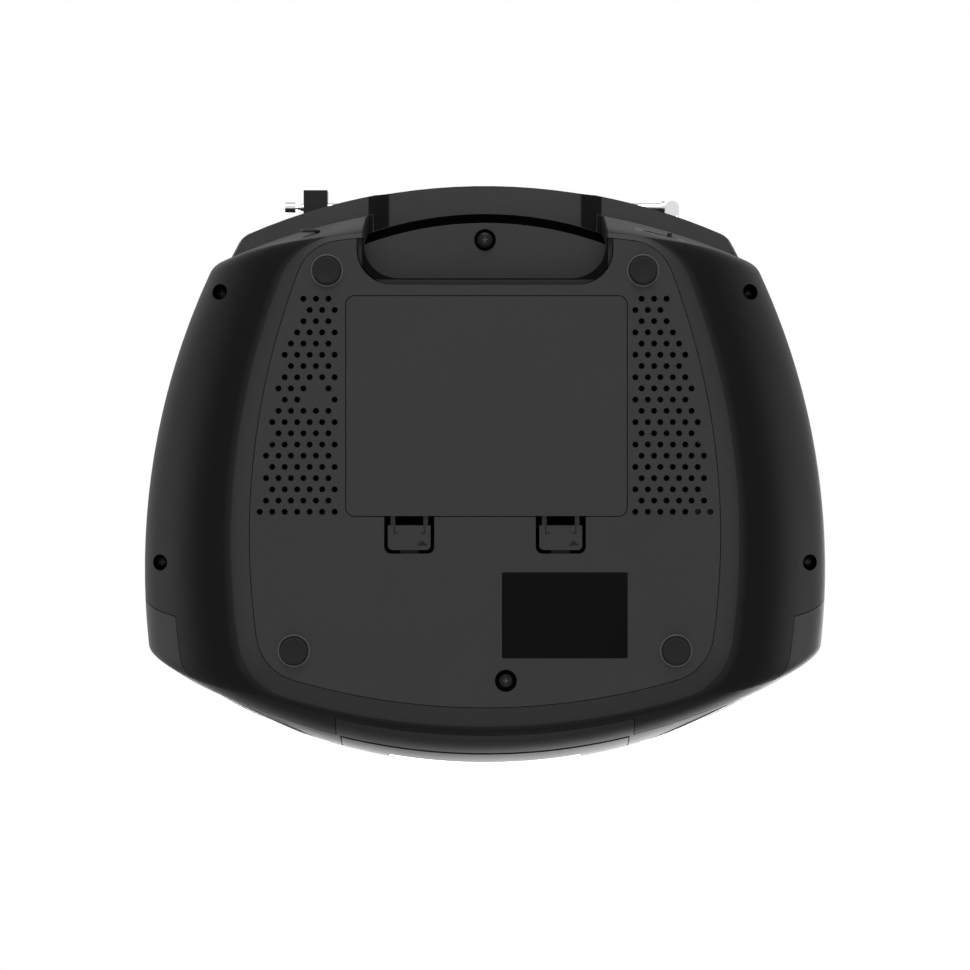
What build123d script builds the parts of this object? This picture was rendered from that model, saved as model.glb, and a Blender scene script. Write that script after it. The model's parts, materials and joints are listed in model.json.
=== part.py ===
from build123d import *
from math import cos, hypot, pi, radians, sin, tan
import os

# A portable radio with a cassette deck and a disc player, standing on four feet.
# Millimetres. +X is the right-hand side seen from the front, +Y the rear, +Z up.
# The origin is on the table, under the middle of the cabinet.

# Cabinet
body_width = 300.0
front_reach = 129.15
rear_reach = 129.15
rear_at_waist = 117.0
rear_lean = 4.8
front_radius = 241.0
side_radius = 308.0
ridge_radius = 268.0
rear_wall_radius = 285.0
base_z = 2.5
bowl_z = 11.0
waist_z = 65.0
deck_z = 120.0
handle_top = 138.0
crown_lean = 18.0
waist_front_corner = 5.0
waist_rear_corner = 9.0
deck_corner = 14.0
plinth_peak = -30.0
waist_peak = -43.0
deck_peak = -38.0
least_corner = 1.5
wall = 2.5
far = 220.0

# Clearances: a seam between shells, a piece set in an opening, a shaft in its bore
joint_gap = 0.3
set_fit = 0.2
running_fit = 0.06

# Plinth, the sloping band round the base plate
plinth_width = 218.0
plinth_front = 109.8
plinth_rear = 104.7
plinth_corner = 28.0
plinth_front_arc = 300.0
plinth_rear_arc = 500.0
band_width = 8.4
band_rear = 2.6
plate_thickness = 3.0
plate_peak = -28.0
plate_side_radius = 316.0
plate_front_arc = 290.0
plate_front_corner = 22.0
plate_rear_corner = 20.0

# Slanted seams between the lower, upper and front shells
seam_y = -53.8
seam_rise = tan(radians(12.3))
seam_lean = 0.21
front_bottom_z = 22.5
deck_seam_y = -76.0

# Hollow under the handle, the opening for the hand and the dip in front of the bar
recess_half = 52.0
recess_front = 82.0
recess_corner = 15.0
recess_ledge_z = 22.0
ledge_rear = 106.7
niche_radius = 150.0
niche_slope = 8.3
hand_low = 84.0
hand_high = 112.0
hand_half = 50.0
hand_corner = 10.0
handle_front = 60.0
handle_low = 80.0
scoop_front = 79.0
scoop_run = 15.0

# Raised band along the rear, which carries the handle bar and the aerial
ridge_depth = 26.0
ridge_low = 105.5
ridge_crown = 1000.0
ridge_peak_y = 100.0
ridge_corner = 7.0
ridge_halves = ((ridge_low, 147.0), (ridge_low + 10, 148.0), (handle_top - 12, 143.0), (handle_top, 130.0))

# Loudspeakers
speaker_x = 104.0
speaker_y = -100.6
speaker_turn = 26.5
speaker_z = 68.0
ring_radius = 41.5
ring_hole = 36.0
ring_proud = 1.5
ring_round = 2.2
pocket_depth = 9.0
cup_wall = 1.7
cone_radius = 33.0
cone_flange = 5.0
cone_depth = 16.0
basket_depth = 24.0
magnet_radius = 22.0
magnet_depth = 36.0
grille_radius = 35.7
grille_sheet = 1.0
dome_rise = 4.6

# Disc player
disc_y = 6.0
lid_radius = 67.0
lid_gap = 0.6
lid_seat = 1.4
lid_edge = 1.6
lid_rise = 6.8
window_radius = 36.0
window_lip = 2.5
window_seat = 5.2
lug_x = 29.5
lug_half = 1.5
lug_reach = 2.5
lug_top = 2.2
hinge_y, hinge_z = 75.0, 122.6
lid_pin_radius = 1.2
well_radius = 62.5
well_wall = 2.0
well_floor = 107.0
well_sheet = 1.5
chassis_z = 94.0
chassis_thickness = 2.0
chassis_half = 42.0
chassis_front = -64.0
chassis_rear = 42.0
spindle_radius = 1.0
turntable_radius = 14.0
hub_radius = 7.3
motor_radius = 11.5
motor_height = 9.0
rod_radius = 1.5
rod_x = 17.0
rod_z = 100.0
rod_front, rod_rear = -61.0, -6.0
pickup_y = -18.0
pickup_travel = 34.0
gear_teeth = 16
gear_pitch = 2.6
gear_y = -26.0
gear_half = 1.2
gear_shaft = 1.0
rack_x = -22.6
rack_tooth = 2.0
rack_tip_x = rack_x - rack_tooth
gear_radius = gear_teeth * gear_pitch / (2 * pi) + 0.75
gear_x = rack_tip_x - gear_radius + 1.5
sled_motor_radius = 8.0
sled_motor_height = 9.0

# Cassette deck: door, bay, and a mechanism on a plate behind the bay
chin_half = 64.0
chin_low = 12.2
chin_rear = -100.0
door_half = 62.0
door_low = 24.7
door_high = 86.0
door_gap_side = 0.4
door_axis_y = -114.8
door_axis_z = 38.0
ear_half = 3.0
pin_radius = 1.5
bay_rear = -97.0
deck_plate = 2.0
deck_half = 58.0
deck_low, deck_high = 20.0, 108.0
window_half = 42.0
window_low, window_high = 40.0, 76.0
reel_x = 21.25
reel_z = 51.0
reel_disc_radius = 12.5
reel_hub_radius = 3.6
reel_shaft = 1.5
capstan_x, capstan_z = -15.0, 79.0
capstan_radius = 1.2
flywheel_radius = 19.0
flywheel_y = (-91.5, -86.0)
arm_x, arm_z = -38.0, 93.0
roller_x = -15.0
roller_radius = 5.5
head_travel = 5.0
guide_places = (8.5, 20.0)
guide_z = 95.0
motor_x, motor_z = 36.0, 36.0
deck_motor_radius = 13.5
pulley_radius = 4.0

# Keys over the cassette door, on one shaft
key_row_half = 55.0
key_front = -101.0
key_rear = -82.0
key_pitch = 17.9
key_gap = 0.8
key_rise = 3.6
key_pivot_y, key_pivot_z = -76.5, 112.5
key_shaft = 1.5

# Display
display_half = 46.0
display_low = 91.0
display_high = 107.0
display_cheek = 3.4

# Knobs, buttons and the sliding switch on the deck
knob_x, knob_y = 98.0, 15.0
knob_radius = 15.0
knob_height = 9.0
knob_shaft = 3.0
knob_flutes = 24
flute_radius = 0.8
button_radius = 5.0
button_rise = 2.2
button_places = [(-74.0, -64.0), (74.0, -64.0), (0.0, -68.5)]
switch_y = -24.0
switch_half = 2.7
switch_travel = 4.0
switch_slot_half = 8.0

# Telescopic aerial, lying along the rear of the handle
aerial_y, aerial_z = 120.5, 129.6
aerial_pivot_x = -85.5
aerial_tip_x = 91.3
aerial_radius = 2.05
aerial_step = 0.45
aerial_sections = 4
aerial_collar = 3.1
aerial_tip_radius = 2.5
swivel_radius = 3.0
swivel_front = 100.0
clevis_half = 3.0
clevis_gap = 1.3
clip_x = 77.2
clip_half = 5.4
clip_front, clip_rear = 112.0, 128.0
clip_low, clip_high = 122.0, 134.0

# Fasteners
rear_screw_x, rear_screw_y = 114.7, 77.2
front_screw_x, front_screw_y = 140.8, -39.8
counterbore_radius = 3.5
counterbore_top = 46.0
boss_low = 14.0
boss_top = 52.0
boss_wall = 2.0
screw_radius = 1.5
screw_bite = 12.0
head_radius = 3.2
head_height = 2.4
ledge_screw_y = 99.4
ledge_post = 4.0
plate_screw_x, plate_screw_y = -8.9, -89.7

# Feet and vents in the base plate
foot_radius = 5.8
foot_seat = 1.0
foot_places = [(67.4, 85.2), (-67.4, 85.2), (81.5, -76.9), (-81.5, -76.9)]
vent_radius = 1.43
vent_pitch = 5.32
vent_row = 4.78
vent_rows = 20
vent_rear = 73.15
vent_inner = 64.1
vent_margin = 12.7
vent_peak = -24.0
vent_bow = 505.0
blank_x, blank_y, blank_reach = 72.0, 32.0, 4.5

# Battery compartment: six cells in three rows, under a hooked door with two sliding latches
battery_x, battery_y = -0.65, 27.4
battery_door_width = 120.4
battery_door_depth = 94.5
door_corner = 4.0
door_gap = 0.4
door_thickness = 2.7
cell_radius = 13.1
cell_length = 50.0
cell_rows = 3
case_width = 114.0
case_depth = 89.0
case_height = 29.0
case_wall = 2.0
case_flange = 3.0
hook_x = 35.0
hook_half = 5.0
hook_reach = 2.6
latch_offset = 32.3
latch_width = 21.4
latch_reach = 15.7
latch_corner = 3.0
latch_slit = 1.6
latch_travel = 2.0
rail_x = 7.0

# Power and sound
inlet_x, inlet_z = -76.0, 36.0
inlet_half = 11.0
inlet_high = 13.0
inlet_front = 96.0
inlet_recess = 9.0
socket_x, socket_z = 76.0, 36.0
socket_nut = 5.0
socket_bore = 1.8
socket_front = 86.0
socket_depth = 14.0
board_low = 2.0
board_sheet = 1.6
transformer_x = (58.0, 94.0)
transformer_y = (-63.0, -33.0)


def block(x, y, z, mode=Mode.ADD):
    """A box between two values along each axis."""
    middle = ((x[0] + x[1]) / 2, (y[0] + y[1]) / 2, (z[0] + z[1]) / 2)
    with Locations(middle):
        Box(abs(x[1] - x[0]), abs(y[1] - y[0]), abs(z[1] - z[0]), mode=mode)


def about(middle, half):
    """The two values that lie half a width to each side of a middle."""
    return (middle - half, middle + half)


def across(radius, x, y, z, mode=Mode.ADD):
    """A cylinder along X between two values of x."""
    with Locations(((x[0] + x[1]) / 2, y, z)):
        Cylinder(radius, abs(x[1] - x[0]), rotation=(0, 90, 0), mode=mode)


def along(radius, x, y, z, mode=Mode.ADD):
    """A cylinder along Y between two values of y."""
    with Locations((x, (y[0] + y[1]) / 2, z)):
        Cylinder(radius, abs(y[1] - y[0]), rotation=(90, 0, 0), mode=mode)


def upright(radius, x, y, z, mode=Mode.ADD):
    """A cylinder along Z between two values of z."""
    with Locations((x, y, (z[0] + z[1]) / 2)):
        Cylinder(radius, abs(z[1] - z[0]), mode=mode)


def prism(points, half):
    """A bar across the cabinet, from points in the YZ plane."""
    with BuildPart(mode=Mode.PRIVATE) as bar:
        with BuildSketch(Plane.YZ):
            with BuildLine():
                Polyline(points, close=True)
            make_face()
        extrude(amount=half, both=True)
    return bar.part


def drum(plane, radius, low, high, mode=Mode.ADD):
    """A cylinder on a plane, between two heights over it."""
    with Locations(plane):
        with Locations((0, 0, (low + high) / 2)):
            Cylinder(radius, high - low, mode=mode)


def write(piece, label):
    """Label a finished piece and write its STEP file."""
    piece.part.label = label
    export_step(piece.part, f"parts/{label}.step")


def between(low, high, share):
    return low + (high - low) * share


def outline(z, half, peak, side, rear, rear_arc, front, front_arc, rear_corner, front_corner, inset):
    """One level section: four arcs, for the rear, the front and the two sides, and rounded corners."""
    with BuildSketch(Plane.XY.offset(z)) as section:
        with Locations((0, rear - rear_arc)):
            Circle(rear_arc - inset)
        with Locations((0, front_arc - front)):
            Circle(front_arc - inset, mode=Mode.INTERSECT)
        for way in (-1, 1):
            with Locations((way * (half - side), peak)):
                Circle(side - inset, mode=Mode.INTERSECT)
        corners = section.vertices().sort_by(Axis.Y)
        fillet(corners[-2:], max(rear_corner - inset, least_corner))
        corners = section.vertices().sort_by(Axis.Y)
        fillet(corners[:2], max(front_corner - inset, least_corner))
    return section.sketch


def bowl_section(angle, inset):
    """Section of the bowl, which swells as a quarter ellipse from the plinth to the waist."""
    out, up = (body_width - plinth_width) / 2, waist_z - bowl_z
    slope = hypot(up * sin(angle), out * cos(angle))
    sideways = inset * up * sin(angle) / slope
    z = waist_z - up * cos(angle) + inset * out * cos(angle) / slope
    share = sin(angle)
    rise = (1 - cos(angle)) ** 0.7
    return outline(z, plinth_width / 2 + out * share, between(plinth_peak, waist_peak, share), side_radius,
                   between(plinth_rear, rear_at_waist, rise),
                   between(plinth_rear_arc, rear_wall_radius, share),
                   between(plinth_front, front_reach, share),
                   between(plinth_front_arc, front_radius, share),
                   between(plinth_corner, waist_rear_corner, share),
                   between(plinth_corner, waist_front_corner, share), sideways)


def crown_section(angle, inset):
    """Section above the waist, where the sides lean in and round over to the deck."""
    up, lean = deck_z - waist_z, crown_lean
    slope = hypot(up * cos(angle), lean * sin(angle))
    sideways = inset * up * cos(angle) / slope
    z = waist_z + up * sin(angle) - inset * lean * sin(angle) / slope
    share = 1 - cos(angle)
    return outline(z, body_width / 2 - lean * share, between(waist_peak, deck_peak, share), side_radius,
                   rear_at_waist + rear_lean * sin(angle), rear_wall_radius,
                   front_reach - lean * share, front_radius,
                   between(waist_rear_corner, deck_corner, share),
                   between(waist_front_corner, deck_corner, share), sideways)


def hull(inset):
    """The cabinet's outer form, or the same form drawn in by a wall."""
    with BuildPart() as form:
        for angle in (0, 10, 24, 45, 68, 90):
            add(bowl_section(radians(angle), inset))
        for angle in (25, 50, 70, 90):
            add(crown_section(radians(angle), inset))
        loft()
    return form.part


def plate_outline(z, inset):
    """Outline of the base plate, drawn in by inset."""
    return outline(z, plinth_width / 2 - band_width, plate_peak, plate_side_radius,
                   plinth_rear - band_rear, plinth_rear_arc, plinth_front - band_width, plate_front_arc,
                   plate_rear_corner, plate_front_corner, inset)


def seam_z(y):
    """Height of the seam between the lower and the upper shell, which rises to the rear."""
    return seam_kink_z + (y - seam_y) * seam_rise


def recess_form(grow):
    """The hollow at the rear, under the handle: a pocket cut from below, then a shallow niche."""
    middle_y = (recess_front - grow + far) / 2
    depth = far - recess_front + grow
    with BuildPart() as form:
        with BuildSketch(Plane.XY.offset(-wall)) as pocket:
            with Locations((0, middle_y)):
                Rectangle(2 * (recess_half + grow), depth)
            fillet(pocket.vertices().group_by(Axis.Y)[0], recess_corner)
        extrude(amount=recess_ledge_z + wall + grow)
        with BuildSketch(Plane.XY.offset(recess_ledge_z)):
            with Locations((0, middle_y)):
                Rectangle(2 * (recess_half + grow), depth)
        extrude(amount=hand_low - recess_ledge_z)
        with BuildSketch(Plane.XY.offset(recess_ledge_z + grow)):
            with Locations((0, ledge_rear - niche_radius)):
                Circle(niche_radius - grow)
        with BuildSketch(Plane.XY.offset(hand_low + 1)):
            with Locations((0, ledge_rear - niche_radius)):
                Circle(niche_radius + niche_slope - grow)
        loft(mode=Mode.SUBTRACT)
    return form.part


def scoop_form(grow):
    """The dip in the deck in front of the handle bar."""
    over = deck_z + wall + ridge_corner
    return prism([(scoop_front - grow, over), (scoop_front - grow, deck_z),
                  (scoop_front + scoop_run - grow, hand_low - grow), (far, hand_low - grow),
                  (far, over)], hand_half + grow)


def ridge_form(inset):
    """The raised band along the rear that carries the handle bar and the aerial."""
    with BuildPart() as form:
        for z, half in ridge_halves:
            level = min(max(z, ridge_low + inset), handle_top - inset)
            add(outline(level, half, waist_peak, side_radius, rear_reach, ridge_radius,
                        front_reach, front_radius, ridge_corner, ridge_corner, inset))
        loft()
        upright(ridge_radius - ridge_depth + inset, 0, rear_reach - ridge_radius, (0, far), Mode.SUBTRACT)
        along(ridge_crown, 0, (0, far), handle_top - inset - ridge_crown, Mode.INTERSECT)
    return form.part


def vent_places():
    """Centres of the vent holes on the right-hand side, in staggered rows that follow the plate's edge."""
    places = []
    for row in range(vent_rows):
        y = vent_rear - vent_row * row
        x = vent_inner + (0 if row % 2 else vent_pitch / 2)
        while x < plinth_width / 2 - vent_margin - (y - vent_peak) ** 2 / vent_bow:
            places.append((x, y))
            x += vent_pitch
    return places


os.makedirs("parts", exist_ok=True)
seam_kink_z = waist_z + 1
seam_foot_y = seam_y - (waist_z - front_bottom_z) * seam_lean
deck_seam_z = deck_z + wall

# Where the three shells meet
lower_zone = prism([(-far, -far), (far, -far), (far, seam_z(far)), (seam_y, seam_kink_z),
                    (seam_foot_y, front_bottom_z), (-far, front_bottom_z)], far)
upper_zone = prism([(far, seam_z(far) + joint_gap), (far, far), (deck_seam_y, far),
                    (deck_seam_y, deck_seam_z), (seam_y, seam_kink_z + joint_gap)], far)
front_zone = prism([(-far, front_bottom_z + joint_gap), (seam_foot_y - joint_gap, front_bottom_z + joint_gap),
                    (seam_y - joint_gap, seam_kink_z), (deck_seam_y - joint_gap, deck_seam_z),
                    (deck_seam_y - joint_gap, far), (-far, far)], far)
chin = prism([(-far, chin_low), (chin_rear, chin_low), (chin_rear, front_bottom_z + 1),
              (-far, front_bottom_z + 1)], chin_half)
chin_notch = prism([(-far, chin_low - joint_gap), (chin_rear + 1, chin_low - joint_gap),
                    (chin_rear + 1, front_bottom_z + 2), (-far, front_bottom_z + 2)], chin_half + joint_gap)
handle_zone = prism([(handle_front, handle_low), (far, handle_low), (far, far), (handle_front, far)],
                    hand_half + wall + 1)
handle_cut = prism([(handle_front - 1, handle_low - joint_gap), (far, handle_low - joint_gap), (far, far),
                    (handle_front - 1, far)], hand_half + wall + 1 + joint_gap)

speakers = {}
for way, side in ((-1, "left"), (1, "right")):
    turn = radians(speaker_turn) * way
    speakers[side] = Plane(origin=(way * speaker_x, speaker_y, speaker_z),
                           x_dir=(cos(turn), sin(turn), 0), z_dir=(sin(turn), -cos(turn), 0))

screw_places = []
for way in (-1, 1):
    screw_places.append((way * rear_screw_x, rear_screw_y))
    screw_places.append((way * front_screw_x, front_screw_y))

# The hollow shell that the three mouldings are cut from
outer = hull(0)
inner = hull(wall)

with BuildPart() as plinth:
    add(plate_outline(base_z, 0))
    add(outline(bowl_z, plinth_width / 2, plinth_peak, side_radius, plinth_rear, plinth_rear_arc,
                plinth_front, plinth_front_arc, plinth_corner, plinth_corner, 0))
    loft(ruled=True)

with BuildPart() as hand_hole:
    with BuildSketch(Plane.XZ.offset(-handle_front)):
        with Locations((0, (hand_low + hand_high) / 2)):
            RectangleRounded(2 * hand_half, hand_high - hand_low, hand_corner)
    extrude(amount=handle_front - far)

with BuildPart() as cavity:
    add(inner)
    add(plate_outline(base_z + plate_thickness, wall))
    extrude(amount=bowl_z - base_z)
    add(ridge_form(wall))
    block(about(0, hand_half + wall), (handle_front, far), (hand_low, far), Mode.SUBTRACT)
    add(recess_form(wall), mode=Mode.SUBTRACT)
    add(scoop_form(wall), mode=Mode.SUBTRACT)

with BuildPart() as shell:
    add(outer)
    add(scoop_form(0), mode=Mode.SUBTRACT)
    add(ridge_form(0))
    add(hand_hole.part, mode=Mode.SUBTRACT)
    add(plinth.part)
    add(recess_form(0), mode=Mode.SUBTRACT)
    add(cavity.part, mode=Mode.SUBTRACT)

with BuildPart() as bosses:
    for x, y in screw_places:
        upright(counterbore_radius + boss_wall, x, y, (boss_low, boss_top))
    add(outer, mode=Mode.INTERSECT)

with BuildPart() as posts:
    for x, y in screw_places:
        upright(counterbore_radius + 1, x, y, (boss_top + joint_gap, deck_z))
    upright(ledge_post, 0, ledge_screw_y, (recess_ledge_z + wall + joint_gap, hand_low))
    add(outer, mode=Mode.INTERSECT)

with BuildPart() as lower_cabinet:
    add(shell.part)
    add(lower_zone, mode=Mode.INTERSECT)
    add(handle_cut, mode=Mode.SUBTRACT)
    add(chin_notch, mode=Mode.SUBTRACT)
    add(bosses.part)
    for x, y in screw_places:
        upright(counterbore_radius, x, y, (0, counterbore_top), Mode.SUBTRACT)
        upright(screw_radius + running_fit, x, y, (0, boss_top + screw_bite), Mode.SUBTRACT)
    upright(screw_radius + running_fit, 0, ledge_screw_y, (0, recess_ledge_z + screw_bite), Mode.SUBTRACT)
    add(plate_outline(0, 0))
    extrude(amount=base_z + plate_thickness, mode=Mode.SUBTRACT)
    block(about(inlet_x, inlet_half + set_fit), (inlet_front - 1, far),
          about(inlet_z, inlet_high / 2 + set_fit), Mode.SUBTRACT)
    along(socket_nut + set_fit, socket_x, (inlet_front - 1, far), socket_z, Mode.SUBTRACT)
write(lower_cabinet, "lower_cabinet")

lid_recess_z = deck_z - lid_seat
shaft_hole = knob_shaft + running_fit
groove_half = aerial_radius + 0.1
with BuildPart() as upper_cabinet:
    add(shell.part)
    add(upper_zone + handle_zone, mode=Mode.INTERSECT)
    add(posts.part)
    for x, y in screw_places:
        upright(screw_radius + running_fit, x, y, (0, boss_top + screw_bite + 1), Mode.SUBTRACT)
    upright(screw_radius + running_fit, 0, ledge_screw_y, (0, recess_ledge_z + screw_bite + 1), Mode.SUBTRACT)
    upright(lid_radius + lid_gap, 0, disc_y, (lid_recess_z, far), Mode.SUBTRACT)
    upright(well_radius + well_wall + 2 * set_fit, 0, disc_y, (well_floor, far), Mode.SUBTRACT)
    for way in (-1, 1):
        upright(shaft_hole, way * knob_x, knob_y, (well_floor, far), Mode.SUBTRACT)
        block(about(way * lug_x, lug_half), about(hinge_y, lug_reach), (deck_z - wall, hinge_z + lug_top))
        across(lid_pin_radius + running_fit, about(way * lug_x, 2 * lug_half + 1), hinge_y, hinge_z, Mode.SUBTRACT)
    for x, y in button_places:
        upright(button_radius + joint_gap, x, y, (well_floor, far), Mode.SUBTRACT)
    block(about(-knob_x, switch_half + joint_gap), about(switch_y, switch_slot_half), (well_floor, far),
          Mode.SUBTRACT)
    block((aerial_pivot_x - clevis_half - 1, aerial_tip_x + 1), (aerial_y - clevis_half - joint_gap, far),
          (aerial_z - clevis_half - set_fit, far), Mode.SUBTRACT)
    block(about(clip_x, clip_half), (clip_front, clip_rear), (clip_low, clip_high))
    across(aerial_radius + joint_gap, about(clip_x, clip_half + 2), aerial_y, aerial_z, Mode.SUBTRACT)
    block(about(clip_x, clip_half + 2), about(aerial_y, groove_half), (aerial_z, far), Mode.SUBTRACT)
    along(swivel_radius + running_fit, aerial_pivot_x, (swivel_front - 2, clip_front + swivel_radius * 2),
          aerial_z, Mode.SUBTRACT)
write(upper_cabinet, "upper_cabinet")

# Front shell: baffles with pockets for the loudspeaker rings, the bay of the cassette door, keys
with BuildPart() as cups:
    for plane in speakers.values():
        drum(plane, ring_radius + cup_wall, -pocket_depth - wall, 12)
    add(outer, mode=Mode.INTERSECT)

ear_x = door_half + wall
with BuildPart() as front_cabinet:
    add(shell.part)
    add(front_zone + chin, mode=Mode.INTERSECT)
    add(cups.part)
    for way in (-1, 1):
        block(about(way * (display_half + display_cheek), display_cheek / 2), (-122, -113),
              (display_low - 1, display_high + 1))
        block(about(way * ear_x, 2), (door_axis_y - ear_half, bay_rear), about(door_axis_z, ear_half + 1.5))
    add(outer, mode=Mode.INTERSECT)
    for plane in speakers.values():
        drum(plane, ring_radius + joint_gap, -pocket_depth, far, Mode.SUBTRACT)
        drum(plane, cone_radius + 1, -2 * pocket_depth, 0, Mode.SUBTRACT)
    block(about(0, door_half + door_gap_side), (-far, bay_rear),
          (front_bottom_z + joint_gap, door_high + door_gap_side), Mode.SUBTRACT)
    block(about(0, display_half), (-far, chin_rear), (display_low, display_high), Mode.SUBTRACT)
    block(about(0, key_row_half), (key_front, key_rear), (deck_z - 12, far), Mode.SUBTRACT)
    for way in (-1, 1):
        across(pin_radius + running_fit, about(way * ear_x, 6), door_axis_y, door_axis_z, Mode.SUBTRACT)
write(front_cabinet, "front_cabinet")

# Loudspeakers
for side, plane in speakers.items():
    with BuildPart() as ring:
        drum(plane, ring_radius, -pocket_depth + joint_gap, ring_proud)
        drum(plane, ring_hole, -pocket_depth, ring_proud, Mode.SUBTRACT)
        fillet(ring.edges().filter_by(GeomType.CIRCLE).group_by(
            lambda edge: round((edge.center() - plane.origin).dot(plane.z_dir), 1))[-1], ring_round)
    write(ring, f"speaker_ring_{side}")

    sphere_radius = (grille_radius ** 2 + dome_rise ** 2) / (2 * dome_rise)
    with BuildPart() as grille:
        with Locations(plane):
            with Locations((0, 0, dome_rise - sphere_radius)):
                Sphere(sphere_radius)
        drum(plane, grille_radius, -far, far, Mode.INTERSECT)
        with Locations(plane):
            with Locations((0, 0, dome_rise - sphere_radius)):
                Sphere(sphere_radius - grille_sheet, mode=Mode.SUBTRACT)
        drum(plane, grille_radius + 1, -far, -grille_sheet, Mode.SUBTRACT)
        drum(plane, grille_radius, -pocket_depth + joint_gap, -set_fit)
        drum(plane, grille_radius - grille_sheet, -pocket_depth, -set_fit, Mode.SUBTRACT)
    write(grille, f"speaker_grille_{side}")

    back = -pocket_depth - wall - joint_gap
    with BuildPart() as driver:
        with BuildSketch(Plane(plane.origin, x_dir=plane.x_dir, z_dir=plane.y_dir * -1)):
            with BuildLine():
                Polyline((0, back - magnet_depth), (magnet_radius, back - magnet_depth),
                         (magnet_radius, back - basket_depth), (magnet_radius - 2, back - basket_depth),
                         (magnet_radius - 2, back - cone_depth - 2), (cone_radius, back - 2),
                         (cone_radius + cone_flange, back - 2), (cone_radius + cone_flange, back),
                         (cone_radius, back), (cone_radius - 3, back + 1.5), (cone_radius - 6, back),
                         (12, back - cone_depth), (8, back - cone_depth + 4), (0, back - cone_depth + 6),
                         close=True)
            make_face()
        revolve(axis=Axis(plane.origin, plane.z_dir))
    write(driver, f"speaker_driver_{side}")

# Base plate
latch_front = battery_y - battery_door_depth / 2 - latch_reach
door_front = battery_y - battery_door_depth / 2 + door_gap
door_rear = battery_y + battery_door_depth / 2 - door_gap
plate_top = base_z + plate_thickness
hook_notch = (door_rear - hypot(hook_reach, door_thickness), door_rear + hook_reach + 1.7)
with BuildPart() as base_plate:
    add(plate_outline(base_z, joint_gap))
    extrude(amount=plate_thickness)
    add(recess_form(wall + joint_gap), mode=Mode.SUBTRACT)
    with BuildSketch(Plane.XY.offset(base_z)):
        with Locations((battery_x, battery_y)):
            RectangleRounded(battery_door_width, battery_door_depth, door_corner)
    extrude(amount=plate_thickness, mode=Mode.SUBTRACT)
    for way in (-1, 1):
        with BuildSketch(Plane.XY.offset(base_z)) as pocket:
            with Locations((way * latch_offset, latch_front + latch_reach / 2 + door_corner / 2)):
                Rectangle(latch_width, latch_reach + door_corner)
            fillet(pocket.vertices().group_by(Axis.Y)[0], latch_corner)
        extrude(amount=plate_thickness, mode=Mode.SUBTRACT)
    with BuildSketch(Plane.XY.offset(base_z)):
        for way in (-1, 1):
            kept = []
            for x, y in vent_places():
                if way < 0 or hypot(x - blank_x, y - blank_y) > blank_reach:
                    kept.append((way * x, y))
            with Locations(kept):
                RegularPolygon(vent_radius, 6)
    extrude(amount=plate_thickness, mode=Mode.SUBTRACT)
    for x, y in foot_places:
        upright(foot_radius + set_fit, x, y, (base_z, base_z + foot_seat), Mode.SUBTRACT)
    upright(head_radius + 2 * set_fit, plate_screw_x, plate_screw_y, (base_z, base_z + head_height - 0.6),
            Mode.SUBTRACT)
    upright(screw_radius + running_fit, plate_screw_x, plate_screw_y, (base_z, far), Mode.SUBTRACT)
    for way in (-1, 1):
        block(about(battery_x + way * hook_x, hook_half + 1), hook_notch, (base_z + 0.9, far), Mode.SUBTRACT)
write(base_plate, "base_plate")

with BuildPart() as feet:
    for x, y in foot_places:
        upright(foot_radius, x, y, (0, base_z + foot_seat))
    chamfer(feet.edges().group_by(Axis.Z)[0], 0.7)
write(feet, "feet")

# Battery compartment
case_top = plate_top + case_height + case_wall
row_pitch = (case_depth - 2 * case_wall) / cell_rows
with BuildPart() as battery_case:
    block(about(battery_x, case_width / 2 + case_wall), about(battery_y, case_depth / 2 + case_wall),
          (plate_top, case_top))
    block(about(battery_x, case_width / 2 + case_wall + case_flange),
          about(battery_y, case_depth / 2 + case_wall + case_flange), (plate_top, plate_top + 1.5))
    block(about(battery_x, case_width / 2), about(battery_y, case_depth / 2),
          (plate_top, plate_top + case_height), Mode.SUBTRACT)
    for way in (-1, 1):
        block(about(battery_x, cell_length * 0.8), about(battery_y + way * row_pitch / 2, 0.8),
              (plate_top + case_height - 8, case_top - 1))
        block(about(battery_x + way * hook_x, hook_half + 1), hook_notch, (plate_top - 1, plate_top + 4),
              Mode.SUBTRACT)
        block(about(way * latch_offset, latch_width / 2 + 1),
              (latch_front - 2, battery_y - case_depth / 2 - case_wall), (plate_top - 1, plate_top + 4),
              Mode.SUBTRACT)
        for end in (-1, 1):
            upright(3, battery_x + way * 50, battery_y + end * 38, (case_top, case_top + board_low))
write(battery_case, "battery_case")

plate_half = 8.0
contact_sheet = 0.5
with BuildPart() as battery_contacts:
    for row in (-1, 0, 1):
        for way in (-1, 1):
            inside = battery_x + way * case_width / 2
            y, z = battery_y + row * row_pitch, plate_top + case_height / 2
            block((inside, inside - way * contact_sheet), about(y, plate_half), about(z, plate_half))
            if way * (1 if row == 0 else -1) > 0:
                with Locations((inside - way * (contact_sheet + 2.5), y, z)):
                    Cone(cell_radius / 2, 3, 5, rotation=(0, -90 * way, 0))
write(battery_contacts, "battery_contacts")

with BuildPart() as battery_door:
    with BuildSketch(Plane.XY.offset(base_z)):
        with Locations((battery_x, battery_y)):
            RectangleRounded(battery_door_width - 2 * door_gap, battery_door_depth - 2 * door_gap,
                             door_corner - door_gap)
    extrude(amount=door_thickness)
    for way in (-1, 1):
        block(about(battery_x + way * hook_x, hook_half), (door_rear - 1, door_rear + hook_reach),
              (base_z + 1.2, base_z + door_thickness))
        for rail in (-1, 1):
            block(about(way * latch_offset + rail * rail_x, 1), (latch_front + latch_slit + 1.9, door_front + 1),
                  (base_z + 1.4, base_z + door_thickness))
write(battery_door, "battery_door")

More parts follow.
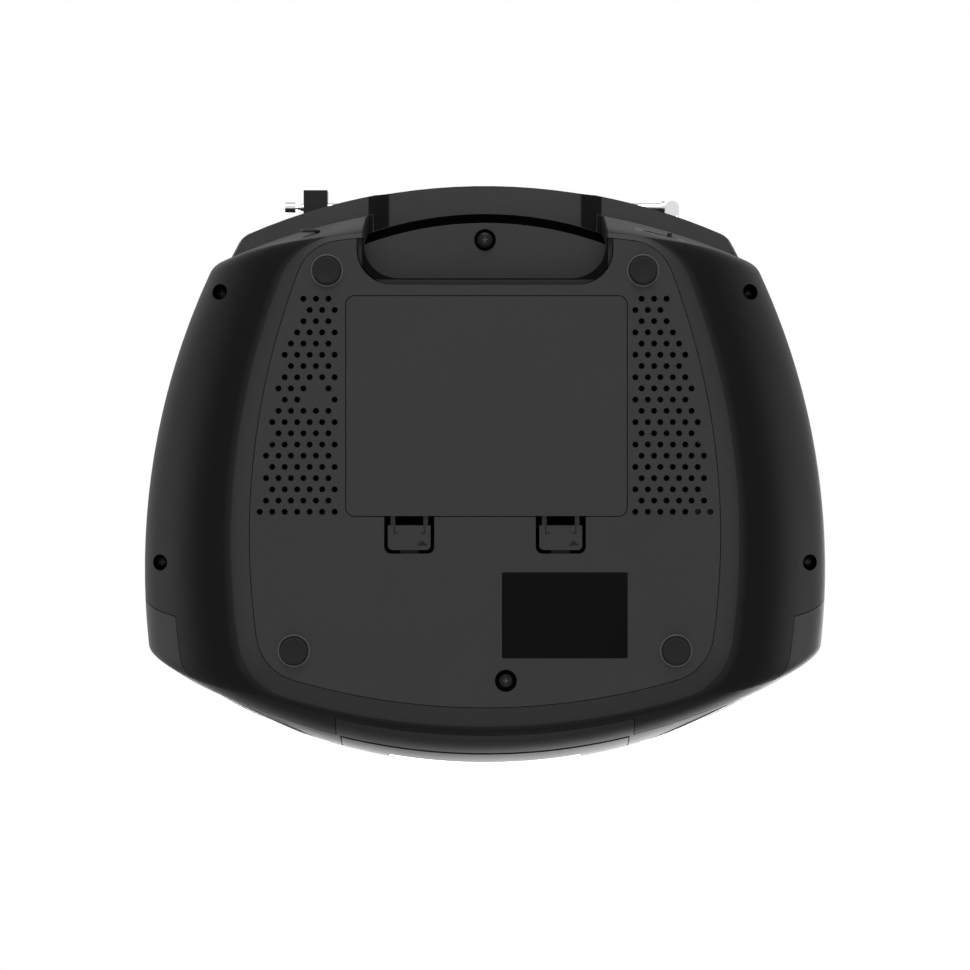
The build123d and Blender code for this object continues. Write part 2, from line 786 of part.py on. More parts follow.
for side, way in (("left", -1), ("right", 1)):
    x = way * latch_offset
    half = latch_width / 2 - latch_slit
    with BuildPart() as latch:
        with BuildSketch(Plane.XY.offset(base_z)) as tongue:
            with Locations((x, (latch_front + latch_slit + door_front - 2 * latch_travel) / 2)):
                Rectangle(2 * half, door_front - 2 * latch_travel - latch_front - latch_slit)
            fillet(tongue.vertices().group_by(Axis.Y)[0], latch_corner - 1)
        extrude(amount=1.2)
        block(about(x, rail_x - 1.5), (latch_front + latch_slit, door_front - 5), (base_z + 1.2, base_z + 3.4))
        block(about(x, rail_x - 3), (latch_front - 0.8, latch_front + 3.6), (base_z + 3.4, base_z + 4.4))
    write(latch, f"battery_latch_{side}")

with BuildPart() as screws:
    for x, y in screw_places:
        upright(head_radius, x, y, (counterbore_top - head_height, counterbore_top))
        upright(screw_radius, x, y, (counterbore_top, boss_top + screw_bite))
    upright(head_radius, 0, ledge_screw_y, (recess_ledge_z - head_height, recess_ledge_z))
    upright(screw_radius, 0, ledge_screw_y, (recess_ledge_z, recess_ledge_z + screw_bite))
    upright(head_radius, plate_screw_x, plate_screw_y, (base_z + 0.1, base_z + head_height - 0.6))
    upright(screw_radius, plate_screw_x, plate_screw_y, (base_z + head_height - 0.6, base_z + 14))
write(screws, "screws")

# Disc player
with BuildPart() as cd_well:
    upright(lid_radius - set_fit, 0, disc_y, (lid_recess_z, lid_recess_z + 1.1))
    upright(well_radius + well_wall, 0, disc_y, (well_floor - well_sheet, lid_recess_z + 1.1))
    upright(well_radius, 0, disc_y, (well_floor, far), Mode.SUBTRACT)
    upright(turntable_radius + 2, 0, disc_y, (chassis_z, far), Mode.SUBTRACT)
    block((-6, 6), (pickup_y - pickup_travel - 6, disc_y), (chassis_z, far), Mode.SUBTRACT)
    for x in (-36, 36):
        for y in (disc_y - 46, disc_y + 30):
            upright(3, x, y, (chassis_z + chassis_thickness, well_floor - well_sheet))
write(cd_well, "cd_well")

chassis_top = chassis_z + chassis_thickness
with BuildPart() as cd_chassis:
    block((-chassis_half, chassis_half), (chassis_front, chassis_rear), (chassis_z, chassis_top))
    fillet(cd_chassis.edges().filter_by(Axis.Z), 4)
    upright(spindle_radius + running_fit, 0, disc_y, (0, far), Mode.SUBTRACT)
    upright(gear_shaft + running_fit, gear_x, gear_y, (0, far), Mode.SUBTRACT)
    for y in ((rod_front - 3, rod_front), (rod_rear, rod_rear + 3)):
        block(about(0, rod_x + 2), y, (chassis_top, rod_z + 3))
    for way in (-1, 1):
        along(rod_radius, way * rod_x, (rod_front, rod_rear), rod_z)
write(cd_chassis, "cd_chassis")

with BuildPart() as spindle_motor:
    upright(motor_radius, 0, disc_y, (chassis_z - motor_height, chassis_z))
    upright(spindle_radius + running_fit, 0, disc_y, (chassis_z - motor_height + 2, far), Mode.SUBTRACT)
    chamfer(spindle_motor.edges().group_by(Axis.Z)[0], 0.8)
write(spindle_motor, "spindle_motor")

with BuildPart() as sled_motor:
    upright(sled_motor_radius, gear_x, gear_y, (chassis_z - sled_motor_height, chassis_z))
    upright(gear_shaft + running_fit, gear_x, gear_y, (chassis_z - sled_motor_height + 2, far), Mode.SUBTRACT)
    chamfer(sled_motor.edges().group_by(Axis.Z)[0], 0.8)
write(sled_motor, "sled_motor")

with BuildPart() as turntable:
    upright(turntable_radius, 0, disc_y, (well_floor + 1, well_floor + 3.5))
    upright(hub_radius, 0, disc_y, (well_floor + 3.5, well_floor + 7))
    chamfer(turntable.edges().group_by(Axis.Z)[-1], 1.2)
    upright(spindle_radius, 0, disc_y, (chassis_z - motor_height + 3, well_floor + 1))
    with Locations((0, disc_y, well_floor + 5)):
        with PolarLocations(hub_radius - 0.3, 3):
            Sphere(1.2)
write(turntable, "turntable")

with BuildPart() as optical_pickup:
    block((-13, 13), about(pickup_y, 8), (rod_z - 2.5, rod_z + 4.5))
    for way in (-1, 1):
        for y in (pickup_y - 6, pickup_y + 6):
            along(2 * rod_radius, way * rod_x, about(y, 2), rod_z)
            block((way * 12, way * rod_x), about(y, 2), about(rod_z, 2))
        along(rod_radius + running_fit, way * rod_x, about(pickup_y, 9), rod_z, Mode.SUBTRACT)
    upright(3.4, 0, pickup_y, (rod_z + 4.5, rod_z + 7))
    block((rack_x, rack_x + 3.2), (gear_y - 2, gear_y + pickup_travel + 2), about(rod_z, 1.5))
    for y in (pickup_y - 6, pickup_y + 6):
        block((rack_x + 1.6, -rod_x - 2.4), about(y, 1.5), about(rod_z, 1))
    with BuildSketch(Plane.XY.offset(rod_z - 1.5)):
        for tooth in range(int((pickup_travel + 2) / gear_pitch)):
            y = gear_y + gear_pitch * (tooth + 0.5)
            with BuildLine():
                Polyline((rack_x, y - 0.8), (rack_tip_x, y - 0.3), (rack_tip_x, y + 0.3), (rack_x, y + 0.8),
                         close=True)
            make_face()
    extrude(amount=3)
write(optical_pickup, "optical_pickup")

with BuildPart() as sled_gear:
    upright(gear_radius - 1.6, gear_x, gear_y, about(rod_z, gear_half))
    with BuildSketch(Plane.XY.offset(rod_z - gear_half)):
        with Locations((gear_x, gear_y)):
            with PolarLocations(gear_radius - 0.85, gear_teeth):
                Trapezoid(1.9, 2, 72, rotation=-90)
    extrude(amount=2 * gear_half)
    upright(gear_shaft, gear_x, gear_y, (chassis_z - 5, rod_z - gear_half))
write(sled_gear, "sled_gear")

lid_top = deck_z + lid_rise
window_floor = deck_z + window_seat
with BuildPart() as cd_lid:
    with BuildSketch(Plane.XZ.offset(-disc_y)):
        with BuildLine():
            Polyline((window_radius, window_floor - 0.1), (window_radius, lid_top),
                     (lid_radius - 6, deck_z + 4), (lid_radius, deck_z + lid_edge), (lid_radius, deck_z + set_fit),
                     (lid_radius - 2, deck_z + set_fit), (lid_radius - 7, deck_z + 2.1), close=True)
        make_face()
    revolve(axis=Axis((0, disc_y, 0), (0, 0, 1)))
    upright(window_radius + 1, 0, disc_y, (window_floor - 0.9, window_floor))
    upright(window_radius - window_lip, 0, disc_y, (deck_z, far), Mode.SUBTRACT)
    upright(window_radius, 0, disc_y, (window_floor, far), Mode.SUBTRACT)
    for way in (-1, 1):
        inner_side = lug_x - lug_half - joint_gap
        block((way * (inner_side - 5.7), way * inner_side), (62, hinge_y + 2), (hinge_z - 1.6, hinge_z + 2))
        across(lid_pin_radius, (way * inner_side, way * (lug_x + lug_half + 0.5)), hinge_y, hinge_z)
write(cd_lid, "cd_lid")

with BuildPart() as lid_window:
    upright(window_radius - joint_gap, 0, disc_y, (window_floor, lid_top))
write(lid_window, "lid_window")

# Cassette deck
with BuildPart() as cassette_chassis:
    block((-deck_half, deck_half), (bay_rear, bay_rear + deck_plate), (deck_low, deck_high))
    for way in (-1, 1):
        side_plate = (way * (deck_half - deck_plate), way * deck_half)
        block(side_plate, (door_axis_y + ear_half, bay_rear), (42, 88))
        block(side_plate, (bay_rear, key_pivot_y + 4), (deck_high - 4, deck_high + 8))
        block(about(way * 50, 2), (bay_rear + 1, -86), (deck_low, deck_low + 4))
        block(about(way * 50, 2), (-91, -86), (plate_top, deck_low + 4))
        along(reel_shaft + running_fit, way * reel_x, about(bay_rear, 9), reel_z, Mode.SUBTRACT)
        along(2, motor_x + way * 10, (bay_rear + deck_plate, -84), motor_z - 5)
    across(key_shaft, (-deck_half, deck_half), key_pivot_y, key_pivot_z)
    for x in guide_places:
        along(1.5, x, (bay_rear - 3.4, bay_rear), guide_z)
    upright(4, plate_screw_x, plate_screw_y, (plate_top + joint_gap, deck_low + 2))
    block(about(plate_screw_x, 3), (bay_rear, plate_screw_y), (deck_low, deck_low + 4))
    upright(screw_radius + running_fit, plate_screw_x, plate_screw_y, (0, deck_low), Mode.SUBTRACT)
    along(capstan_radius + running_fit, capstan_x, about(bay_rear, 9), capstan_z, Mode.SUBTRACT)
    along(capstan_radius + running_fit, arm_x, about(bay_rear, 9), arm_z, Mode.SUBTRACT)
write(cassette_chassis, "cassette_chassis")

for label, x in (("supply_reel", reel_x), ("takeup_reel", -reel_x)):
    with BuildPart() as reel:
        along(reel_shaft, x, (bay_rear - 2, bay_rear + 4.8), reel_z)
        along(reel_hub_radius, x, (bay_rear - 9, bay_rear - 0.1), reel_z)
        with Locations(Plane(origin=(x, bay_rear - 5, reel_z), z_dir=(0, 1, 0))):
            with PolarLocations(reel_hub_radius + 0.2, 3):
                Box(2.6, 1.2, 6)
        along(reel_disc_radius, x, (bay_rear + deck_plate + joint_gap, bay_rear + 4.8), reel_z)
    write(reel, label)

with BuildPart() as capstan:
    along(flywheel_radius, capstan_x, flywheel_y, capstan_z)
    along(flywheel_radius - 3, capstan_x, (flywheel_y[0] + 4, flywheel_y[1]), capstan_z, Mode.SUBTRACT)
    along(capstan_radius, capstan_x, (bay_rear - 10, flywheel_y[1]), capstan_z)
write(capstan, "capstan")

with BuildPart() as pinch_roller:
    along(capstan_radius, arm_x, (bay_rear - 3.5, bay_rear + deck_plate), arm_z)
    block((arm_x - 2, roller_x), (bay_rear - 3.5, bay_rear - 1.5), about(arm_z, 2))
    along(roller_radius, roller_x, (bay_rear - 11, bay_rear - 4.5), arm_z)
    along(1.5, roller_x, (bay_rear - 11.5, bay_rear - 1.5), arm_z)
write(pinch_roller, "pinch_roller")

with BuildPart() as head_carriage:
    block((-9, 24), (bay_rear - 3.4, bay_rear - 1.6), (guide_z - 4.5, guide_z + 9))
    for x in guide_places:
        with BuildSketch(Plane.XZ.offset(-bay_rear)):
            with Locations((x, guide_z + head_travel / 2)):
                SlotOverall(head_travel + 4, 3.2, rotation=90)
        extrude(amount=9, mode=Mode.SUBTRACT)
    block((-6, 6), (bay_rear - 13, bay_rear - 3.4), (88, 96))
    block((11, 16), (bay_rear - 12, bay_rear - 3.4), (88.5, 96))
write(head_carriage, "head_carriage")

with BuildPart() as cassette_motor:
    along(deck_motor_radius, motor_x, (-84, -64), motor_z)
    along(1, motor_x, (flywheel_y[1], -84), motor_z)
    along(pulley_radius, motor_x, flywheel_y, motor_z)
write(cassette_motor, "cassette_motor")

belt_inside = 0.3
belt_sheet = 1.0
with BuildPart() as drive_belt:
    for grow, mode in ((belt_inside + belt_sheet, Mode.ADD), (belt_inside, Mode.SUBTRACT)):
        with BuildSketch(Plane.XZ.offset(-flywheel_y[0] - 1)):
            with Locations((capstan_x, capstan_z)):
                Circle(flywheel_radius + grow)
            with Locations((motor_x, motor_z)):
                Circle(pulley_radius + grow)
            make_hull()
        extrude(amount=-2.5, mode=mode)
write(drive_belt, "drive_belt")

door_span = prism([(-far, door_low), (bay_rear, door_low), (bay_rear, door_high), (-far, door_high)], door_half)
with BuildPart() as cassette_door:
    add(outer)
    add(inner, mode=Mode.SUBTRACT)
    add(door_span, mode=Mode.INTERSECT)
    block((-window_half, window_half), (-far, chin_rear), (window_low, window_high), Mode.SUBTRACT)
    for way in (-1, 1):
        block((way * 52, way * 53.6), (-120, -101), (28, 80))
        block((way * (door_half - ear_half), way * (door_half - door_gap_side)), (-120, door_axis_y + ear_half),
              about(door_axis_z, ear_half))
    add(outer, mode=Mode.INTERSECT)
    for way in (-1, 1):
        across(pin_radius, (way * (door_half - door_gap_side), way * (door_half + 5)), door_axis_y, door_axis_z)
write(cassette_door, "cassette_door")

with BuildPart() as cassette_window:
    add(outer)
    add(inner, mode=Mode.SUBTRACT)
    block(about(0, window_half - joint_gap), (-far, chin_rear), (window_low + joint_gap, window_high - joint_gap),
          Mode.INTERSECT)
write(cassette_window, "cassette_window")

with BuildPart() as display_window:
    add(outer)
    add(inner, mode=Mode.SUBTRACT)
    block(about(0, display_half - joint_gap), (-far, chin_rear),
          (display_low + joint_gap, display_high - joint_gap), Mode.INTERSECT)
write(display_window, "display_window")

display_y = -113.0
with BuildPart() as display_module:
    block(about(0, display_half + 5), (display_y, display_y + board_sheet), (display_low - 1, display_high + 1))
    block(about(0, display_half - 5), (display_y - 4, display_y), (display_low + 1, display_high - 1))
write(display_module, "display_module")

key_names = ("pause", "stop", "fast_forward", "rewind", "play", "record")
for number, name in enumerate(key_names):
    x = (number - (len(key_names) - 1) / 2) * key_pitch
    with BuildPart() as key:
        with BuildSketch(Plane.YZ.offset(x)):
            with BuildLine():
                Polyline((key_front + 1.2, deck_z - 1), (key_front + 1.2, deck_z + 2.5),
                         (key_front + 3, deck_z + key_rise), (key_rear - 1.5, deck_z + key_rise),
                         (key_rear - 0.9, deck_z + 2.8), (key_rear - 0.9, deck_z - 1), close=True)
            make_face()
        extrude(amount=(key_pitch - key_gap) / 2, both=True)
        with BuildSketch(Plane.YZ.offset(x)):
            with BuildLine():
                Polyline((key_front + 4, deck_z - 1), (key_rear - 2, deck_z - 1), (key_rear - 1, deck_z - 4),
                         (key_pivot_y, key_pivot_z + 3), (key_pivot_y, key_pivot_z - 3),
                         (key_rear - 2, key_pivot_z - 3), (key_front + 6, key_pivot_z), close=True)
            make_face()
        extrude(amount=2, both=True)
        across(2 * key_shaft, about(x, 2), key_pivot_y, key_pivot_z)
        across(key_shaft + running_fit, about(x, 3), key_pivot_y, key_pivot_z, Mode.SUBTRACT)
    write(key, f"{name}_key")

# Controls on the deck
for label, way in (("volume_knob", -1), ("tuning_knob", 1)):
    x = way * knob_x
    with BuildPart() as knob:
        upright(knob_radius, x, knob_y, (deck_z + joint_gap, deck_z + knob_height))
        fillet(knob.edges().group_by(Axis.Z)[-1], 1.2)
        with Locations((x, knob_y, deck_z + 6)):
            with PolarLocations(knob_radius + joint_gap, knob_flutes):
                Cylinder(flute_radius, 14, mode=Mode.SUBTRACT)
        upright(knob_shaft, x, knob_y, (deck_z - 12, deck_z + 1))
    write(knob, label)

for label, place in zip(("disc_play_button", "disc_stop_button", "lid_open_button"), button_places):
    with BuildPart() as button:
        upright(button_radius, place[0], place[1], (deck_z - 6, deck_z + button_rise))
        fillet(button.edges().group_by(Axis.Z)[-1], 0.8)
    write(button, label)

switch_plate_z = deck_z - wall - joint_gap
with BuildPart() as function_switch:
    block(about(-knob_x, switch_half), about(switch_y, switch_slot_half - switch_travel - 1),
          (deck_z - 5, deck_z + 3))
    block(about(-knob_x, 5), about(switch_y, switch_slot_half + 1), (switch_plate_z - 1.5, switch_plate_z))
write(function_switch, "function_switch")

# Aerial
with BuildPart() as aerial_swivel:
    along(swivel_radius, aerial_pivot_x, (swivel_front, aerial_y - 3.8), aerial_z)
    for low, high in ((-clevis_half, -clevis_gap), (clevis_gap, clevis_half)):
        block(about(aerial_pivot_x, clevis_half), (aerial_y - 3.8, aerial_y), (aerial_z + low, aerial_z + high))
        upright(clevis_half, aerial_pivot_x, aerial_y, (aerial_z + low, aerial_z + high))
    block(about(aerial_pivot_x, clevis_half), (aerial_y - 3.8, aerial_y - 3.2), about(aerial_z, clevis_half))
    upright(1, aerial_pivot_x, aerial_y, about(aerial_z, clevis_half))
write(aerial_swivel, "aerial_swivel")

tube_start = aerial_pivot_x + 3.4
tongue_half = clevis_gap - 0.1
for number in range(aerial_sections):
    outside = aerial_radius - aerial_step * number
    bore = outside - aerial_step + running_fit
    start, end = tube_start + 4 + 3 * number, 83 + 1.2 * number
    with BuildPart() as section:
        across(outside, (start if number else tube_start, end), aerial_y, aerial_z)
        if number < aerial_sections - 1:
            across(bore, (tube_start + 5 + 3 * number, end), aerial_y, aerial_z, Mode.SUBTRACT)
        else:
            across(aerial_tip_radius, (end, aerial_tip_x), aerial_y, aerial_z)
        if number == 0:
            across(aerial_collar, (tube_start, tube_start + 1.4), aerial_y, aerial_z)
            block((aerial_pivot_x, tube_start), about(aerial_y, 1.6), about(aerial_z, tongue_half))
            upright(2.6, aerial_pivot_x, aerial_y, about(aerial_z, tongue_half))
            upright(1 + running_fit, aerial_pivot_x, aerial_y, about(aerial_z, clevis_half), Mode.SUBTRACT)
    write(section, f"aerial_section_{number + 1}")

# Power and sound
with BuildPart() as ac_inlet:
    block(about(inlet_x, inlet_half), (inlet_front, far), about(inlet_z, inlet_high / 2))
    add(outer, mode=Mode.INTERSECT)
    inlet_face = ac_inlet.part.bounding_box().max.Y
    with BuildSketch(Plane.XZ.offset(-far)):
        with Locations((inlet_x, inlet_z)):
            SlotOverall(16, 8)
    extrude(amount=far - inlet_face + inlet_recess, mode=Mode.SUBTRACT)
    for way in (-1, 1):
        along(1.2, inlet_x + way * 4.3, (inlet_face - inlet_recess - 1, inlet_face - 3), inlet_z)
write(ac_inlet, "ac_inlet")

with BuildPart() as headphone_socket:
    along(socket_nut, socket_x, (socket_front, far), socket_z)
    add(outer, mode=Mode.INTERSECT)
    socket_face = headphone_socket.part.bounding_box().max.Y
    along(socket_bore, socket_x, (socket_face - socket_depth, far), socket_z, Mode.SUBTRACT)
write(headphone_socket, "headphone_socket")

with BuildPart() as transformer:
    block(transformer_x, transformer_y, (plate_top + 4, plate_top + 28))
    block((transformer_x[0] + 5, transformer_x[1] - 5), (transformer_y[0] - 5, transformer_y[1] + 5),
          (plate_top + 10, plate_top + 22))
    block((transformer_x[0] - 3, transformer_x[1]), transformer_y, (plate_top, plate_top + 4))
write(transformer, "transformer")

board_z = case_top + board_low + board_sheet
with BuildPart() as main_board:
    block((-60, 58), (-18, 74), (board_z - board_sheet, board_z))
    for x, y, radius, height in ((-40, 0, 6, 20), (-24, 0, 6, 20), (-50, 30, 4, 12), (10, 50, 4, 12),
                                 (24, 50, 4, 12), (40, 10, 5, 14)):
        upright(radius, x, y, (board_z, board_z + height))
    for x, y, width, depth in ((0, 20, 14, 30), (-30, 45, 10, 20), (35, 40, 12, 12)):
        block(about(x, width / 2), about(y, depth / 2), (board_z, board_z + 3))
write(main_board, "main_board")

sink_top = board_z + 24.4
with BuildPart() as heat_sink:
    block((20, 54), (64, 67), (board_z, sink_top))
    for x in (20, 28.5, 37, 45.5, 52):
        block((x, x + 2), (67, 73), (board_z, sink_top))
write(heat_sink, "heat_sink")
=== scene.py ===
import json
from math import cos, hypot, pi, radians, sin, sqrt

import bmesh
import bpy
from bpy.props import FloatProperty, FloatVectorProperty
from mathutils import Matrix, Vector
from mathutils.bvhtree import BVHTree


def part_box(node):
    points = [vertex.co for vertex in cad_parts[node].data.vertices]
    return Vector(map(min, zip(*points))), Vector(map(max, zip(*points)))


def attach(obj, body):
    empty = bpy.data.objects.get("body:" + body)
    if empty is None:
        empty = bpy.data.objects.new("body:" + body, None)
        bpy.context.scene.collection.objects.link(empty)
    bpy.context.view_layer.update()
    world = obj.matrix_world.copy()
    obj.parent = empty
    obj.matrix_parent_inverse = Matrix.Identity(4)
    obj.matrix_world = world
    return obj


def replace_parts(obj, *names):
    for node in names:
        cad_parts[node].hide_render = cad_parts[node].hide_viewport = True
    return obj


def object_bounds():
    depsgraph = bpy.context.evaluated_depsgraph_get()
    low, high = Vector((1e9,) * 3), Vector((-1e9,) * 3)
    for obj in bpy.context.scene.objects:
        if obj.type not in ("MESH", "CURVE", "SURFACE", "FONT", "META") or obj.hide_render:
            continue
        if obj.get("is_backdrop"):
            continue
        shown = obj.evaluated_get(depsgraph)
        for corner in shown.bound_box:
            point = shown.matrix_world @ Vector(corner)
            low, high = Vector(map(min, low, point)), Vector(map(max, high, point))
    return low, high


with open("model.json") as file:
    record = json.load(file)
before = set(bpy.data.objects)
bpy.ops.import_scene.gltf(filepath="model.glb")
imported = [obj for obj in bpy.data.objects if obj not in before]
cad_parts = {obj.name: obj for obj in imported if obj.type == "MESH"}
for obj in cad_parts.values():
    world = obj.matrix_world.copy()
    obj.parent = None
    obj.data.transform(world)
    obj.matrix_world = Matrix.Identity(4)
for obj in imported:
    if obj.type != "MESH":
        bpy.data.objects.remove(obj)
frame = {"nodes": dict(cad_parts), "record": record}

bl_info = {
    "name": "Portable Stereo Finish",
    "version": (1, 0, 0),
    "blender": (4, 5, 0),
    "location": "3D View > Sidebar > Stereo",
    "description": "Finishes and small details of a portable stereo, laid over its packed frame",
    "category": "Object",
}

MM = 0.001
BODY_OF = {node: body for body, nodes in frame["record"]["behaviour"]["bodies"].items() for node in nodes}
SLOT_OF = {part["node"]: part["material_slot"] for part in frame["record"]["subparts"]}


def colour(name, description, value):
    return FloatVectorProperty(name=name, description=description, default=value, subtype="COLOR",
                               size=3, min=0.0, max=1.0)


def number(name, description, value, unit="NONE"):
    return FloatProperty(name=name, description=description, default=value, min=0.0, unit=unit)


def length(name, description, millimetres):
    return number(name, description, millimetres * MM, "LENGTH")


class StageSettings(bpy.types.PropertyGroup):
    """Camera, floor and lamps."""
    camera_drop: length("Camera Drop", "Distance below the table", 1750)
    camera_shift: length("Camera Shift", "Distance towards the front", 6.25)
    lens: number("Lens", "Focal length", 152.6, "CAMERA")
    floor_colour: colour("Floor", "Pale table colour", (0.86, 0.86, 0.86))
    world_level: number("Surround", "Strength of the pale surround", 0.5)
    below_level: number("Below", "What polished faces see of the room below", 0.12)
    below_power: number("Lower Lamp", "Soft lamp under the cabinet", 7.0, "POWER")
    above_power: number("Upper Lamp", "Soft lamp over the cabinet", 22.0, "POWER")
    side_power: number("Side Lamps", "Strip lamps beside the cabinet", 8.0, "POWER")
    rear_power: number("Rear Lamp", "Low lamp behind the cabinet", 14.0, "POWER")
    front_power: number("Front Lamp", "Low lamp before the cabinet", 6.0, "POWER")


class FinishColours(bpy.types.PropertyGroup):
    """Colours of the visible surfaces."""
    # Painted shade: the lower shell keeps this tone, while the upper and front shells of the same plastic
    # take twice it, so the underside's bowl reads darker.
    bowl: colour("Bowl", "Satin black of the rounded shells", (0.0016, 0.0016, 0.0017))
    base: colour("Base", "Textured black of the underside", (0.017, 0.017, 0.0173))
    # Painted light: the recess floor is the base's textured plastic lightened to make up for the shade of the
    # recess.
    ledge: colour("Ledge", "Textured floor of the hand recess", (0.030, 0.030, 0.0305))
    # Painted light: the handle's underside and the rear edge beside it are the base's textured plastic
    # lightened to make up for the shade under the handle.
    grip: colour("Grip", "Textured underside of the handle", (0.031, 0.031, 0.0315))
    # Painted shade: this near black stands in for the shade on the recess walls, on the curved wall behind
    # the recess floor and round the screws.
    shade: colour("Shade", "Dull walls of the recess and deep gaps", (0.0008, 0.0008, 0.0008))
    rubber: colour("Rubber", "Feet", (0.009, 0.009, 0.0092))
    trim: colour("Trim", "Glossy loudspeaker rings", (0.003, 0.003, 0.0032))
    silver: colour("Silver", "Painted controls", (0.33, 0.335, 0.345))
    chrome: colour("Chrome", "Aerial", (0.5, 0.5, 0.51))
    zinc: colour("Zinc", "Plated steel", (0.42, 0.42, 0.41))
    print_pale: colour("Print", "Pale markings", (0.62, 0.63, 0.64))
    print_dark: colour("Dark Print", "Dark markings on the base", (0.009, 0.009, 0.0092))
    sticker: colour("Sticker", "Blank sticker on the base", (0.0013, 0.0013, 0.00135))
    record: colour("Record", "Mark on the record key", (0.45, 0.02, 0.015))


class CabinetSizes(bpy.types.PropertyGroup):
    """Where the shells change from satin to textured plastic, and where painted shade darkens the recess
    walls.
    """
    plinth_top: length("Plinth Top", "Height of the textured band round the base", 11.0)
    soft_edge: length("Soft Edge", "Width of the blend between two textures", 0.4)
    grip_blend: length("Grip Blend", "Width of the blend into the grip", 4.0)
    hollow_half: length("Hollow Half Width", "Half the width of recess floor and grip", 54.0)
    hollow_front: length("Hollow Front", "Front of the recess floor", 80.0)
    hollow_rear: length("Hollow Rear", "Rear of the recess floor", 108.5)
    ledge: length("Ledge", "Height of the recess floor", 22.0)
    # The dull walls are recess walls painted near black as painted shade.
    wall_half: length("Wall Half Width", "Half the width between the dull walls", 52.6)
    wall_front: length("Wall Front", "Front of the dull walls", 81.4)
    wall_low: length("Wall Low", "Height at which the dull walls begin", 3.2)
    wall_high: length("Wall High", "Height at which the dull walls end", 111.4)
    post_y: length("Post Back", "How far back the screw post lies", 99.4)
    post_clear: length("Post Clearance", "Free space round the middle of the post", 5.0)
    grip_front: length("Grip Front", "Front of the handle grip", 97.0)
    grip_low: length("Grip Low", "Lowest point of the handle grip", 108.0)
    strip_low: length("Strip Low", "Lowest point of the rear edge beside the grip", 98.0)
    # Painted shade: thickness of the near-black sheet laid on the curved recess wall as its shade.
    coat: length("Coat", "Thickness of the coat on the curved wall", 0.06)
    slit_x: length("Slit Across", "Place of the small slit in the lower shell", 103.9)
    slit_y: length("Slit Back", "How far back the small slit lies", 94.6)
    slit_half_length: length("Slit Half Length", "Half the length of the small slit", 2.6)
    slit_half_width: length("Slit Half Width", "Half the width of the small slit", 0.5)
    slit_turn: number("Slit Turn", "How far the small slit is turned", radians(25), "ROTATION")
    ring_inner: length("Lid Ring Gap", "From the lid's window to the bright ring", 0.6)
    ring_outer: length("Lid Ring Reach", "From the lid's window to the ring's outer edge", 3.0)


class UndersideSizes(bpy.types.PropertyGroup):
    """Small things on the underside."""
    sticker_width: length("Sticker Width", "Width of the blank sticker", 53.6)
    sticker_depth: length("Sticker Depth", "Depth of the blank sticker", 36.6)
    sticker_x: length("Sticker Across", "Distance to the left of the centre", 34.0)
    sticker_y: length("Sticker Forward", "Distance in front of the centre", 61.8)
    film: length("Film", "Thickness of stickers and print", 0.1)
    foot_ring: length("Foot Ring", "Radius of the moulded ring round a foot", 6.9)
    arrow_shift: length("Arrow Shift", "How far a latch's arrow stands off its middle", 5.5)
    # Painted shade: the near-black ring round a screw head stands in for the shade of its counterbore.
    washer: length("Washer", "Width of the dark ring round a screw head", 1.5)
    washer_reach: length("Washer Reach", "How near to the centre line a screw has a ring", 20)


class GrilleSizes(bpy.types.PropertyGroup):
    """Perforated loudspeaker grilles."""
    pitch: length("Pitch", "Distance between holes", 3.1)
    bar: length("Bar", "Metal between two holes", 0.95)
    sheet: length("Sheet", "Sheet thickness", 0.5)
    rim: length("Rim", "Width of the plain rim", 1.6)
    dome: length("Dome", "How far the middle stands forward", 4.6)
    turn: number("Turn", "How far the baffles face outwards", radians(26.5), "ROTATION")


class DialSizes(bpy.types.PropertyGroup):
    """Printed dials and symbols."""
    numeral: length("Numeral", "Height of the numbers", 4.0)
    gap: length("Gap", "From a knob to its numbers", 5.2)
    symbol: length("Symbol", "Size of a key's symbol", 3.4)
    ink: length("Ink", "Thickness of the print", 0.08)
    sweep: number("Sweep", "Half the angle that a dial covers", radians(150), "ROTATION")


def settings(context, group):
    return getattr(context.scene, f"stereo_{group}")


# Small helpers for modelling

def mode(kind):
    bpy.ops.object.mode_set(mode=kind)


def clear():
    """Leave nothing selected, in object mode."""
    if bpy.context.object and bpy.context.object.mode != "OBJECT":
        mode("OBJECT")
    bpy.ops.object.select_all(action="DESELECT")


def only(piece):
    """Leave a single piece selected and active, in object mode."""
    clear()
    piece.select_set(True)
    bpy.context.view_layer.objects.active = piece


def edit_all(piece):
    """Open a piece in edit mode with all of it selected."""
    only(piece)
    mode("EDIT")
    bpy.ops.mesh.select_all(action="SELECT")


def named(piece, name):
    piece.name = name
    piece.data.name = name
    return piece


def settle(piece):
    """Write a piece's place into its mesh, so that its object stands at the origin."""
    only(piece)
    bpy.ops.object.transform_apply()
    return piece


def modified(piece, kind, **options):
    """Set up a modifier on a piece and apply it."""
    only(piece)
    modifier = piece.modifiers.new("change", kind)
    for option, value in options.items():
        setattr(modifier, option, value)
    bpy.ops.object.modifier_apply(modifier=modifier.name)
    return piece


def tidy(piece, angle=35):
    """Merge doubles, point the faces outwards and shade smooth up to an angle."""
    edit_all(piece)
    bpy.ops.mesh.remove_doubles(threshold=0.002 * MM)
    bpy.ops.mesh.normals_make_consistent()
    mode("OBJECT")
    bpy.ops.object.shade_smooth_by_angle(angle=radians(angle))
    return piece


def dress(piece, material, node):
    """Give a new piece its material and the body of the CAD node that it belongs to; the node's slot is
    looked up but not used.
    """
    body, slot = BODY_OF[node], SLOT_OF[node]
    piece.data.materials.clear()
    piece.data.materials.append(material)
    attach(piece, body)
    return piece


def move(piece, *place):
    """Move a piece's mesh and leave its object where it is."""
    piece.data.transform(Matrix.Translation(place))
    return piece


